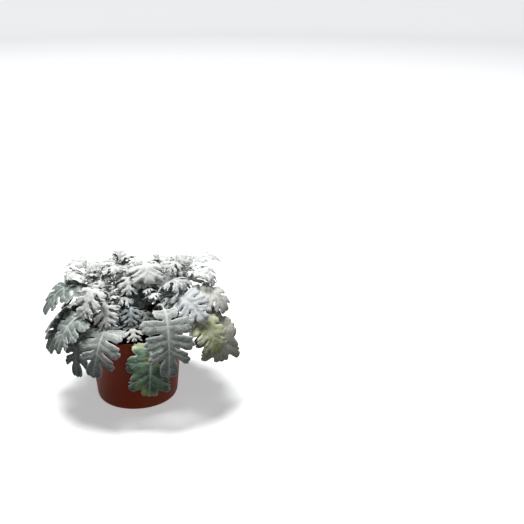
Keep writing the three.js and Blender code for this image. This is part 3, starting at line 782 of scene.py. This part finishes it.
def leaf_solid(leaf, course):
    """A leaf's points, faces and marks: a raised midrib, side veins sunk between swollen panels, and margins
    that roll down."""
    flat = flat_leaf(leaf, course["length"])
    points, faces = leaf_net(flat, leaf["net"])
    rib = [line for kind, line in flat["veins"] if kind == "rib"]
    laterals = [line for kind, line in flat["veins"] if kind == "lateral"]
    twigs = [line for kind, line in flat["veins"] if kind == "twig"]
    to_rib, to_lateral, to_twig = (to_lines(points, lines) for lines in (rib, laterals, twigs))
    margin_distance, _ = to_outline(points, flat["outline"])
    used = Counter(tuple(sorted(edge)) for face in faces for edge in zip(face, face[1:] + face[:1]))
    on_rim = np.zeros(len(points), bool)
    on_rim[[k for edge, count in used.items() if count == 1 for k in edge]] = True
    u, v = points[:, 0], points[:, 1]
    small = min(1.0, flat["half"] / 14)
    along = np.clip((v - flat["start"]) / flat["blade"], 0, 1)
    on_blade = smoothstep(v, 0.7 * flat["start"], flat["start"] + 0.1 * flat["blade"])
    stalk_round = np.sqrt(np.clip(1 - (u / flat["stalk"]) ** 2, 0, 1))
    petiole = (1 - on_blade) * (0.2 + 0.62 * flat["rib"] * stalk_round)
    ridge = on_blade * np.exp(-((to_rib / (0.35 + 0.6 * (1 - along))) ** 2)) * (1 - 0.7 * along)
    nearest = np.minimum(to_rib, to_lateral)
    puff = leaf.get("puff", PUFF[leaf["shape"]])
    quilt = 0.45 * puff * (1 - np.exp(-((nearest / 2.2) ** 2))) - 0.2 * puff * np.exp(-((to_twig / 0.8) ** 2))
    roll_down = -(0.2 + 0.6 * puff) * np.exp(-((margin_distance / 1.7) ** 2))
    form = on_blade * small * (quilt + roll_down)
    thick = 0.5 * BLADE_EDGE * on_blade
    top = form + petiole + thick + 0.3 * small * ridge + on_blade * 0.12 * np.exp(-((to_lateral / 0.5) ** 2))
    under = form - petiole - thick - 0.55 * flat["rib"] * ridge
    under = under - on_blade * 0.25 * np.exp(-((to_lateral / 0.7) ** 2))
    upper = bent(leaf, course, flat, points, np.where(on_rim, form, top))
    inner = np.where(~on_rim)[0]
    lower = bent(leaf, course, flat, points[inner], under[inner])
    twin = np.arange(len(points))
    twin[inner] = len(points) + np.arange(len(inner))
    verts = np.vstack([upper, lower])
    solid = [tuple(reversed(f)) if clockwise(points, f) else f for f in faces]
    solid += [tuple(int(twin[k]) for k in reversed(f)) for f in solid]
    vein = np.maximum.reduce([
        np.exp(-((to_rib / (0.5 + 0.7 * (1 - along) * small)) ** 2)) * (1 - 0.35 * along),
        0.55 * np.exp(-((to_lateral / 0.6) ** 2)),
        0.3 * np.exp(-((to_twig / 0.45) ** 2)),
    ])
    vein = np.maximum(vein, 0.6 * (1 - on_blade))
    margin = small * np.exp(-((margin_distance / (1.15 * small)) ** 2))
    both = lambda values: np.concatenate([values, values[inner]])
    marks = dict(vein=both(vein), margin=both(margin))
    marks["under"] = np.concatenate([np.zeros(len(points)), np.ones(len(inner))])
    marks["loose"] = both(np.maximum(margin, 0.5 * (1 - on_blade)))
    # flat places, and the same laid out along the side veins, in tenths of a metre
    lean = math.radians(65)
    along_vein = np.abs(u) * math.sin(lean) + v * math.cos(lean)
    across_vein = v * math.sin(lean) - np.abs(u) * math.cos(lean)
    uv = both(np.column_stack([points, across_vein, 0.16 * along_vein])) / 100
    uv += np.array([draw(leaf["seed"], 51 + k) for k in range(4)]) * 20
    fade = np.where(puff < 2, 1.3 - 0.6 * along, 1)
    return dict(points=verts, faces=solid, marks=marks, uv=uv, fade=both(fade))


def clockwise(points, face):
    (ax, ay), (bx, by), (cx, cy) = (points[k] for k in face)
    return (bx - ax) * (cy - ay) - (by - ay) * (cx - ax) < 0


# ---- Layout ----
FORM = dict(petiole=0.36, roll=0, fold=0.12, curl=0.22, wave=0.03, wide=1)


def leaf_through(at, over, tip, shape, **more):
    return {**FORM, "at": at, "over": over, "tip": tip, "shape": shape, **more}


def leaf_out(shoot, at, aim, arch, shape):
    bearing, radius, height = aim
    root = stem_point(shoot, at)
    tip = (radius * math.cos(math.radians(bearing)), radius * math.sin(math.radians(bearing)), height)
    over = (mix(root[0], tip[0], 0.55), mix(root[1], tip[1], 0.55), mix(root[2], height, 0.5) + arch)
    return leaf_through(at, over, tip, shape)


def young_leaves(shoot):
    leaves = []
    for j in range(shoot["young"]):
        age = 1 - j / (shoot["young"] - 1)
        at = mix(1, 0.78, age)
        turn = math.radians(shoot["turn"] + GOLDEN_ANGLE * j)
        root = stem_point(shoot, at)
        out = mix(7, shoot.get("spread", 40), age**0.8) * (0.9 + 0.2 * draw(shoot["turn"], j))
        tip = (root[0] + out * math.cos(turn), root[1] + out * math.sin(turn), root[2] + mix(16, 12, age))
        over = (mix(root[0], tip[0], 0.5), mix(root[1], tip[1], 0.5), root[2] + mix(10, 19, age))
        form = dict(petiole=0.22, fold=0.25, curl=0.45, wide=mix(0.9, 1.2, age))
        leaves.append(leaf_through(at, over, tip, "bud" if out < 15 else "young", **form))
    return leaves


SHOOTS = [
    dict(name="front", foot=(-2, -22), tip=(-2, -30, 118), girth=2.6, young=5, turn=150, spread=28),
    dict(name="front_right", foot=(16, -14), tip=(40, -14, 140), girth=3.4, young=6, turn=-40),
    dict(name="front_left", foot=(-16, -12), tip=(-30, -24, 138), girth=3.2, young=6, turn=215),
    dict(name="middle", foot=(0, 6), tip=(8, 12, 150), girth=3.4, young=6, turn=140),
    dict(name="right", foot=(24, 5), tip=(62, 16, 148), girth=3.2, young=7, turn=225),
    dict(name="left", foot=(-20, 8), tip=(-46, 12, 150), girth=3.2, young=7, turn=60),
    dict(name="back_right", foot=(14, 22), tip=(36, 56, 146), girth=3.0, young=7, turn=50),
    dict(name="back", foot=(-8, 24), tip=(-14, 56, 146), girth=3.0, young=7, turn=110),
]

GROWN = {
    "front": [
        leaf_through(0.6, (-3, -50, 112), (-1, -66, 99), "feather", petiole=0.34),
        leaf_through(0.95, (-3, -40, 131), (-5, -55, 114), "feather", petiole=0.3, wide=1.1),
        leaf_through(0.8, (10, -38, 124), (17, -53, 107), "feather", petiole=0.3),
    ],
    "front_right": [
        leaf_through(0.42, (35, -66, 134), (35, -97, 66), "oak", petiole=0.44, wide=0.87),
        leaf_through(0.06, (17, -68, 99), (12, -91, 45), "round", petiole=0.48, wide=0.93),
        leaf_through(0.3, (74, -53, 114), (92, -70, 78), "broad", petiole=0.52, roll=14),
        leaf_through(0.75, (54, -42, 142), (80, -64, 119), "broad", petiole=0.4, roll=26, cut=0.62, puff=2.4),
    ],
    "front_left": [
        leaf_through(0.2, (-35, -66, 109), (-50, -80, 60), "oak", petiole=0.36, wide=0.85),
        leaf_through(0.25, (-58, -47, 106), (-68, -64, 58), "oak", petiole=0.42, wide=0.85),
        leaf_through(0.35, (-62, -40, 124), (-90, -53, 86), "broad", petiole=0.42, wide=0.9),
        leaf_through(0.7, (-42, -38, 147), (-58, -55, 119), "feather", petiole=0.34),
        leaf_through(0.8, (-32, -44, 136), (-30, -65, 114), "feather", petiole=0.34),
    ],
    "middle": [
        leaf_through(0.85, (15, -2, 167), (20, -21, 151), "round", petiole=0.3, wide=1.05, cut=0.5, puff=2.6),
        leaf_through(0.7, (-3, -8, 160), (-5, -27, 144), "feather", petiole=0.34),
        leaf_through(0.5, (5, -10, 140), (8, -36, 124), "broad"),
        leaf_through(0.4, (-12, -9, 134), (-22, -32, 118), "broad"),
    ],
    "right": [
        leaf_through(0.12, (82, -34, 105), (99, -54, 60), "round", petiole=0.54, wide=1.05, roll=24),
        leaf_through(0.4, (82, -16, 129), (108, -28, 104), "broad", petiole=0.46, roll=10),
        leaf_through(0.75, (81, 0, 157), (97, -11, 142), "feather", petiole=0.34),
        leaf_through(0.85, (84, 22, 166), (106, 28, 160), "feather", petiole=0.34),
        leaf_through(0.92, (52, 0, 165), (42, -13, 157), "feather", petiole=0.26),
        leaf_through(0.92, (62, 38, 167), (58, 56, 160), "feather", petiole=0.26),
    ],
    "left": [
        leaf_through(0.45, (-70, -4, 148), (-105, -14, 118), "broad", petiole=0.3, wide=0.8),
        leaf_through(0.3, (-66, -16, 128), (-102, -29, 84), "broad", petiole=0.4),
        leaf_through(0.75, (-64, 2, 158), (-80, 4, 150), "feather", petiole=0.3),
        leaf_through(0.9, (-58, 12, 168), (-74, 22, 163), "feather", petiole=0.3),
    ],
}

# bearing, radius and height of the tip, arch, shape
GROWN_BEHIND = {
    "right": [(0.3, (8, 112, 82), 24, "oak"), (0.5, (26, 110, 124), 14, "feather")],
    "left": [(0.3, (166, 112, 80), 24, "oak")],
    "back_right": [
        (0.3, (32, 112, 76), 24, "oak"),
        (0.25, (52, 110, 62), 24, "broad"),
        (0.55, (46, 108, 116), 14, "feather"),
        (0.4, (72, 108, 84), 22, "oak"),
    ],
    "back": [
        (0.3, (92, 110, 68), 24, "oak"),
        (0.3, (116, 112, 76), 24, "broad"),
        (0.55, (104, 106, 114), 14, "feather"),
        (0.4, (141, 112, 84), 22, "oak"),
    ],
}

# How each leaf is coloured, by its seed: felt is how thickly it is covered, fresh how yellow-green it shows
# through, cool how blue its felt is (cream below 0), and shade how much painted shade darkens its blade.
PLAIN = dict(felt=0.5, fresh=0.0, cool=0.0, shade=0.0)
LOOKS = {
    1: dict(felt=1.0, cool=-0.3), 2: dict(felt=0.42, cool=0.6), 3: dict(felt=0.4, shade=0.3),
    101: dict(felt=0.35), 102: dict(felt=0.15, fresh=0.66), 103: dict(felt=0.3, fresh=1.0, cool=-0.4),
    104: dict(felt=1.0, cool=0.4),
    201: dict(felt=0.38), 202: dict(felt=0.34), 203: dict(felt=0.28), 204: dict(felt=0.95),
    205: dict(felt=1.0),
    301: dict(felt=1.0), 302: dict(felt=0.75), 303: dict(felt=0.25, shade=0.5),
    304: dict(felt=0.25, shade=0.5),
    401: dict(felt=0.6, fresh=0.15, cool=-0.65), 402: dict(felt=0.68, cool=-0.35), 403: dict(felt=0.9),
    404: dict(felt=1.0), 405: dict(felt=1.0), 406: dict(felt=1.0),
    501: dict(felt=0.16, shade=0.1), 502: dict(felt=0.12, shade=0.5), 503: dict(felt=0.75),
    504: dict(felt=0.85),
}


def young_look(leaf):
    """Young leaves high in the light are white; those under them get painted shade: less felt, a darker blade
    and a grey-blue tint.
    """
    lit = float(smoothstep(leaf["tip"][2], *YOUNG_SHADE_HEIGHTS))
    return dict(PLAIN, felt=mix(0.28, 1.0, lit), shade=mix(0.45, 0, lit), cool=mix(0.4, 0, lit))


def stem_solid(shoot):
    """A stem's points, faces and marks: a round felted tube, tapered, with a domed end."""
    sides, steps = 18, 30
    shares = np.linspace(0, 1, steps)
    centres = np.vstack([[[*shoot["foot"], SOIL_TOP - STEM_DEPTH]], stem_point(shoot, shares)])
    narrowing = np.interp(shares, [0, 0.3, 0.6, 1], [1, 0.86, 0.72, 0.5])
    taper = np.concatenate([[0.9], narrowing]) * shoot["girth"]
    for k in range(1, 5):
        centres = np.vstack([centres, centres[-1] + [0, 0, 0.25 * taper[steps]]])
        taper = np.append(taper, taper[steps] * math.sqrt(1 - (k / 4.4) ** 2))
    turn = np.arange(sides) * 2 * math.pi / sides
    ring = np.column_stack([np.cos(turn), np.sin(turn), np.zeros(sides)])
    verts = np.vstack([c + r * ring for c, r in zip(centres, taper)])
    at = lambda k, i: k * sides + i % sides
    faces = [tuple(at(0, i) for i in reversed(range(sides)))]
    faces.append(tuple(at(len(centres) - 1, i) for i in range(sides)))
    for k in range(len(centres) - 1):
        faces += [(at(k, i), at(k, i + 1), at(k + 1, i + 1), at(k + 1, i)) for i in range(sides)]
    n = len(verts)
    marks = dict(vein=np.full(n, 0.35), margin=np.zeros(n), under=np.zeros(n), loose=np.full(n, 0.6))
    around = np.tile(turn * shoot["girth"], len(centres))
    uv = np.column_stack([around, verts[:, 2], around, 0.16 * verts[:, 2]]) / 100
    return dict(points=verts, faces=faces, marks=marks, uv=uv, fade=np.ones(n))


def grown_place(shoot, leaf, tree):
    """The course that the model's own leaf takes, found by the tip of its midrib, or None if it has none."""
    end = np.array([[0.0, 0.0]])
    for bend in BEND_CLEAR:
        course = leaf_course(shoot, leaf, bend)
        flat = dict(start=course["length"] * leaf["petiole"], half=1.0)
        flat["blade"] = course["length"] - flat["start"]
        end[0, 1] = course["length"]
        tip = bent(leaf, course, flat, end, BLADE_EDGE / 2)[0]
        _, _, distance = tree.find(Vector(tip) * MM)
        if distance < 0.02 * MM:
            return course
    return None


def grown_parts(index, shoot):
    """The shoot's stem, and the leaves that the model has on it."""
    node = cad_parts["shoot_" + shoot["name"]]
    tree = KDTree(len(node.data.vertices))
    for k, vertex in enumerate(node.data.vertices):
        tree.insert(vertex.co, k)
    tree.balance()
    behind = [leaf_out(shoot, *order) for order in GROWN_BEHIND.get(shoot["name"], [])]
    groups = [GROWN.get(shoot["name"], []), young_leaves(shoot), behind]
    # stems are thinly felted, with painted shade
    parts = [dict(stem_solid(shoot), look=dict(PLAIN, felt=0.35, shade=0.3))]
    for turn, group in enumerate(groups):
        for j, leaf in enumerate(group):
            leaf = dict(leaf, seed=100 * index + 30 * turn + j + 1)
            course = grown_place(shoot, leaf, tree)
            if course is None:
                continue
            leaf["fine"], leaf["net"] = FINENESS["young" if turn == 1 else "grown"]
            # grown leaves keep the plain look, young ones take theirs by height, and those behind are thinly
            # felted with a little painted shade
            usual = [PLAIN, young_look(leaf), dict(felt=0.32, shade=0.1)][turn]
            look = {**PLAIN, **usual, **LOOKS.get(leaf["seed"], {})}
            parts.append(dict(leaf_solid(leaf, course), look=look, leaf=leaf, course=course))
    return parts


def small_leaf(shoot, seed, at, turn, out, rise, arch, blade, shape, **form):
    """A leaf of that blade length at the end of a petiole, reaching "out" from its stem."""
    root = stem_point(shoot, at)
    tip = (root[0] + out * math.cos(turn), root[1] + out * math.sin(turn), root[2] + rise)
    over = (mix(root[0], tip[0], 0.5), mix(root[1], tip[1], 0.5), root[2] + arch)
    length = math.hypot(out, rise, 0.7 * arch)
    petiole = max(0.2, 1 - blade / length)
    return dict(leaf_through(at, over, tip, shape, petiole=petiole, **form), seed=seed)


def tuft_leaves(index, shoot):
    """Small young leaves that fill a shoot's tuft between and under the model's own."""
    leaves, count = [], TUFT_LEAVES
    for j in range(count):
        seed = 1000 + 100 * index + j
        age = j / (count - 1)
        turn = math.radians(shoot["turn"] + 68 + GOLDEN_ANGLE * j + 30 * (draw(seed, 2) - 0.5))
        out = mix(8, 46, age**0.6) * (0.85 + 0.3 * draw(seed, 3)) * shoot.get("spread", 40) / 40
        blade = min(0.8 * out + 6, mix(16, 26, draw(seed, 4)))
        form = dict(fold=0.25, curl=0.5, wide=mix(0.95, 1.2, draw(seed, 5)), wave=0.06)
        at = mix(1, 0.6, age) - 0.04 * draw(seed, 1)
        rise, arch = mix(15, 5, age), mix(11, 17, age)
        shape = "bud" if out < 12 else "young"
        leaf = small_leaf(shoot, seed, at, turn, out, rise, arch, blade, shape, **form)
        leaves.append((leaf, young_look(leaf)))
    return leaves


def lower_leaves(index, shoot):
    """Thinly felted leaves lower down, with painted shade on their blades where the others shade them."""
    leaves, count = [], LOWER_LEAVES
    x, y = shoot["foot"]
    outward = math.atan2(shoot["tip"][1] + y, shoot["tip"][0] + x)
    for j in range(count):
        seed = 1500 + 100 * index + j
        at = mix(0.1, 0.72, draw(seed, 1))
        turn = outward + math.radians(mix(-120, 120, (j + draw(seed, 2)) / count))
        out = mix(18, 52, draw(seed, 3))
        blade = min(0.8 * out + 6, mix(24, 34, draw(seed, 4)))
        rise, arch = mix(-4, 14, draw(seed, 5)), mix(10, 20, draw(seed, 6))
        shape = "feather" if draw(seed, 7) < 0.6 else "oak"
        leaf = small_leaf(shoot, seed, at, turn, out, rise, arch, blade, shape, fold=0.16, curl=0.3)
        leaves.append((leaf, dict(PLAIN, felt=mix(0.1, 0.42, draw(seed, 8)), shade=0.65)))
    return leaves


FREE_TURNS = [0, 12, -12, 24, -24, 38, -38]
FREE_LIFTS = [0, 5, -5, 10]
FREE_STRETCHES = [0, -0.2, -0.4]
FREE_BENDS = sorted(
    [(turn, stretch, lift) for turn in FREE_TURNS for lift in FREE_LIFTS for stretch in FREE_STRETCHES],
    key=lambda b: abs(b[0]) / 12 + abs(b[2]) / 5 - 5 * b[1],
)[:36]


def trial_net(leaf, length):
    """The flat leaf as a few large triangles."""
    flat = flat_leaf(dict(leaf, fine=FINENESS["trial"][0]), length)
    outline = flat["outline"]
    rib = np.column_stack([np.zeros(9), np.linspace(0.02, 0.94, 9) * length])
    distance, inside = to_outline(rib, outline)
    points = np.vstack([outline, rib[inside & (distance > 0.4)]])
    points, faces = triangulate(points, len(outline))
    outer = [face for face in faces if all(points[k, 1] > ROOT_FREE for k in face)]
    return dict(flat=flat, points=points, faces=faces, outer=outer)


def sheets(points, faces):
    tree = BVHTree.FromPolygons(points.tolist(), faces)
    return dict(tree=tree, low=points.min(0), high=points.max(0))


def trial_sheets(leaf, course, net):
    """Two coarse sheets around the bent leaf: the whole of it, and all but its root."""
    rises = (SHEET_RISE, -SHEET_RISE)
    points = np.vstack([bent(leaf, course, net["flat"], net["points"], rise) for rise in rises])
    n = len(net["points"])
    double = lambda faces: faces + [tuple(k + n for k in face) for face in faces]
    return sheets(points, double(net["faces"])), sheets(points, double(net["outer"]))


def meets(one, others):
    """Whether the sheets cross any of the others."""
    lows = np.array([other["low"] for other in others])
    highs = np.array([other["high"] for other in others])
    near = ((one["low"] <= highs) & (lows <= one["high"])).all(1)
    return any(one["tree"].overlap(others[k]["tree"]) for k in np.flatnonzero(near))


def node_sheets(name):
    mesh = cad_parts[name].data
    points = np.array([tuple(v.co) for v in mesh.vertices]) / MM
    return sheets(points, [tuple(p.vertices) for p in mesh.polygons])


def fill(shoots, fillers):
    """Adds each shoot's filling leaves, each in the slightest bend that crosses no leaf, no other shoot's
    stem, and neither pot nor soil. What finds no room is left out."""
    solids = [node_sheets("pot"), node_sheets("soil")]
    whole, outer = [], []
    for parts in shoots:
        stem = sheets(parts[0]["points"], parts[0]["faces"])
        trials = []
        for part in parts[1:]:
            leaf, course = part["leaf"], part["course"]
            trials.append(trial_sheets(leaf, course, trial_net(leaf, course["length"])))
        whole.append([stem] + [one for one, _ in trials])
        outer.append([one for _, one in trials])
    low, high = np.array(cad_low) / MM + 0.5, np.array(cad_high) / MM - 0.5
    for leaves_of in fillers:
        for index, shoot in enumerate(SHOOTS):
            others = solids + [one for i, ones in enumerate(whole) if i != index for one in ones]
            for leaf, look in leaves_of(index, shoot):
                net = None
                for bend in FREE_BENDS:
                    course = leaf_course(shoot, leaf, bend)
                    net = net or trial_net(leaf, course["length"])
                    entire, tried = trial_sheets(leaf, course, net)
                    if (entire["low"] < low).any() or (entire["high"] > high).any():
                        continue
                    if meets(tried, others + outer[index]):
                        continue
                    leaf["fine"], leaf["net"] = FINENESS["filling"]
                    shoots[index].append(dict(leaf_solid(leaf, course), look=look))
                    whole[index].append(entire)
                    outer[index].append(tried)
                    break


def make_shoot(shoot, parts):
    """The shoot's stem and leaves as one piece."""
    points, faces, uv, marks = [], [], [], {}
    count = 0
    for part in parts:
        points.append(part["points"])
        faces += [tuple(k + count for k in face) for face in part["faces"]]
        uv.append(part["uv"])
        own = {label: np.full(len(part["points"]), value) for label, value in part["look"].items()}
        own["felt"] = own["felt"] * part["fade"]
        for label, values in {**part["marks"], **own}.items():
            marks.setdefault(label, []).append(values)
        count += len(part["points"])
    marks = {label: np.concatenate(values) for label, values in marks.items()}
    low, high = np.array(cad_low) / MM, np.array(cad_high) / MM
    points = np.clip(np.vstack(points), low, high)
    # painted shade deep inside the plant: leaves lose most felt, veins, margins and hairs, and their blades
    # darken
    outward = (((points - [0, 0, SOIL_TOP]) / DOME) ** 2).sum(1)
    deep = 1 - smoothstep(outward, *DEEP_SHARES)
    for label in ("felt", "margin", "vein", "loose"):
        marks[label] = marks[label] * (1 - DEEP_SHADE_FELT_LOSS * deep)
    marks["shade"] = np.maximum(marks["shade"], DEEP_SHADE * deep)
    # no hair grows where it would reach out of the model's box
    spare = 2 * HAIR_LENGTH
    marks["loose"] = marks["loose"] * ((points > low + spare) & (points < high - spare)).all(1)
    piece = new_piece("foliage_" + shoot["name"], points, faces, marks, np.vstack(uv))
    piece.data.materials.append(LEAF)
    return piece


# ---- What is scattered ----
def scatter_tree(name, shape, shape_inputs, tilt, least, most):
    """A tree that scatters a small shape over a surface, as densely as the surface's mark "loose" says."""
    tree = bpy.data.node_groups.new(name, "GeometryNodeTree")
    sockets = [
        ("Surface", "Geometry"), ("Density", "Float"), ("Size", "Float"), ("Length", "Float"),
        ("Seed", "Int"), ("Material", "Material"),
    ]
    for label, kind in sockets:
        tree.interface.new_socket(label, in_out="INPUT", socket_type="NodeSocket" + kind)
    tree.interface.new_socket("Scattered", in_out="OUTPUT", socket_type="NodeSocketGeometry")
    given = add(tree, "NodeGroupInput").outputs
    loose = add(tree, "GeometryNodeInputNamedAttribute", {"Name": "loose"}, data_type="FLOAT").outputs[0]
    density = times(tree, loose, given["Density"])
    spread = {"Mesh": given["Surface"], "Density": density, "Seed": given["Seed"]}
    points = add(tree, "GeometryNodeDistributePointsOnFaces", spread).outputs
    small = add(tree, shape, {socket: given[label] for socket, label in shape_inputs.items()})
    turn = {0: (-tilt, -tilt, -math.pi), 1: (tilt, tilt, math.pi), "Seed": given["Seed"]}
    tilted = add(tree, "FunctionNodeRandomValue", turn, data_type="FLOAT_VECTOR").outputs[0]
    turned = {"Rotation": points["Rotation"], "Rotate By": tilted}
    turned = add(tree, "FunctionNodeRotateRotation", turned, rotation_space="LOCAL").outputs[0]
    sizes = {0: (least,) * 3, 1: (most,) * 3, "Seed": given["Seed"]}
    sized = add(tree, "FunctionNodeRandomValue", sizes, data_type="FLOAT_VECTOR").outputs[0]
    each = {"Points": points["Points"], "Instance": small.outputs[0], "Rotation": turned, "Scale": sized}
    placed = add(tree, "GeometryNodeInstanceOnPoints", each).outputs[0]
    real = add(tree, "GeometryNodeRealizeInstances", {0: placed}).outputs[0]
    done = add(tree, "GeometryNodeSetMaterial", {"Geometry": real, "Material": given["Material"]}).outputs[0]
    add(tree, "NodeGroupOutput", {0: done})
    return tree


def scatter(surface, name, tree, **values):
    """What the tree scatters over a piece, as a plain mesh of its own."""
    piece = bpy.data.objects.new(name, surface.data)
    bpy.context.scene.collection.objects.link(piece)
    modifier = piece.modifiers.new("scatter", "NODES")
    modifier.node_group = tree
    for item in tree.interface.items_tree:
        if item.name in values:
            modifier[item.identifier] = values[item.name]
    mesh = bpy.data.meshes.new_from_object(piece.evaluated_get(bpy.context.evaluated_depsgraph_get()))
    piece.modifiers.clear()
    piece.data = mesh
    mesh.name = name
    return piece


# ---- Everything ----
def settle(piece, slot, *nodes):
    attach(piece, "root")
    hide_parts(*nodes)


settle(make_pot(), "pot", "pot")
soil = make_soil()
settle(soil, "soil", "soil")
crumb = scatter_tree("crumb", "GeometryNodeMeshIcoSphere", {"Radius": "Size"}, math.pi, 0.45, 1.3)
crumb_values = dict(Density=CRUMBS / MM**2, Size=CRUMB_RADIUS * MM, Seed=4, Material=PEAT)
crumbs = scatter(soil, "peat_crumbs", crumb, **crumb_values)
settle(crumbs, "soil", "soil")
hair_inputs = {"Radius Bottom": "Size", "Depth": "Length"}
hair = scatter_tree("hair", "GeometryNodeMeshCone", hair_inputs, 0.9, 0.6, 1.2)
hair.nodes["Cone"].inputs["Vertices"].default_value = 3
hair.nodes["Cone"].inputs["Radius Top"].default_value = 0
hair_values = dict(Density=HAIRS / MM**2, Size=HAIR_RADIUS * MM, Length=HAIR_LENGTH * MM)
hair_values.update(Seed=9, Material=HAIR)
growth = [grown_parts(number, shoot) for number, shoot in enumerate(SHOOTS)]
fill(growth, [tuft_leaves, lower_leaves])
for shoot, parts in zip(SHOOTS, growth):
    foliage = make_shoot(shoot, parts)
    settle(foliage, "foliage", "shoot_" + shoot["name"])
    hairs = scatter(foliage, "hairs_" + shoot["name"], hair, **hair_values)
    settle(hairs, "foliage", "shoot_" + shoot["name"])

# ---- Stage, light and camera ----
# a plain floor that rises into a wall all around, far off
bowl = rounded([(0, 0), (3600, 0), (3900, 200), (4000, 4500)], 900, 8)
floor_points, floor_faces = lathe([*bowl, (0, 4500)], 48)
floor_faces = [face for face in floor_faces if len(floor_points) - 1 not in face]
floor = new_piece("floor", floor_points[:-1], [tuple(reversed(face)) for face in floor_faces])
pale, _, paint = new_material("pale_floor")
paint.inputs["Base Color"].default_value = colour("e2e4e6")
paint.inputs["Roughness"].default_value = 0.9
paint.inputs["Emission Color"].default_value = colour("f4f4f4")
paint.inputs["Emission Strength"].default_value = FLOOR_GLOW
floor.data.materials.append(pale)
floor.visible_diffuse = False  # the pale floor throws no light back up into the leaves


def area_light(name, place, size, power):
    light = bpy.data.lights.new(name, "AREA")
    light.shape = "DISK"
    light.size = size
    light.energy = power
    lamp = bpy.data.objects.new(name, light)
    lamp.location = place
    lamp.rotation_euler = (Vector(LAMP_AIM) - Vector(place)).to_track_quat("-Z", "Y").to_euler()
    bpy.context.scene.collection.objects.link(lamp)


area_light("sky", **SKY)
area_light("front_fill", **FRONT_FILL)

world = bpy.data.worlds.new("studio")
bpy.context.scene.world = world
world.use_nodes = True
world.node_tree.nodes["Background"].inputs[0].default_value = colour("f2f5fa")
world.node_tree.nodes["Background"].inputs[1].default_value = WORLD_STRENGTH

lens = bpy.data.cameras.new("camera")
lens.sensor_width = 36
lens.lens = CAMERA_LENS
lens.clip_start = 0.01
camera = bpy.data.objects.new("camera", lens)
camera.location = CAMERA_PLACE
camera.rotation_euler = [math.radians(angle) for angle in CAMERA_TURN]
bpy.context.scene.collection.objects.link(camera)
bpy.context.scene.camera = camera
bpy.context.scene.view_settings.view_transform = "Standard"
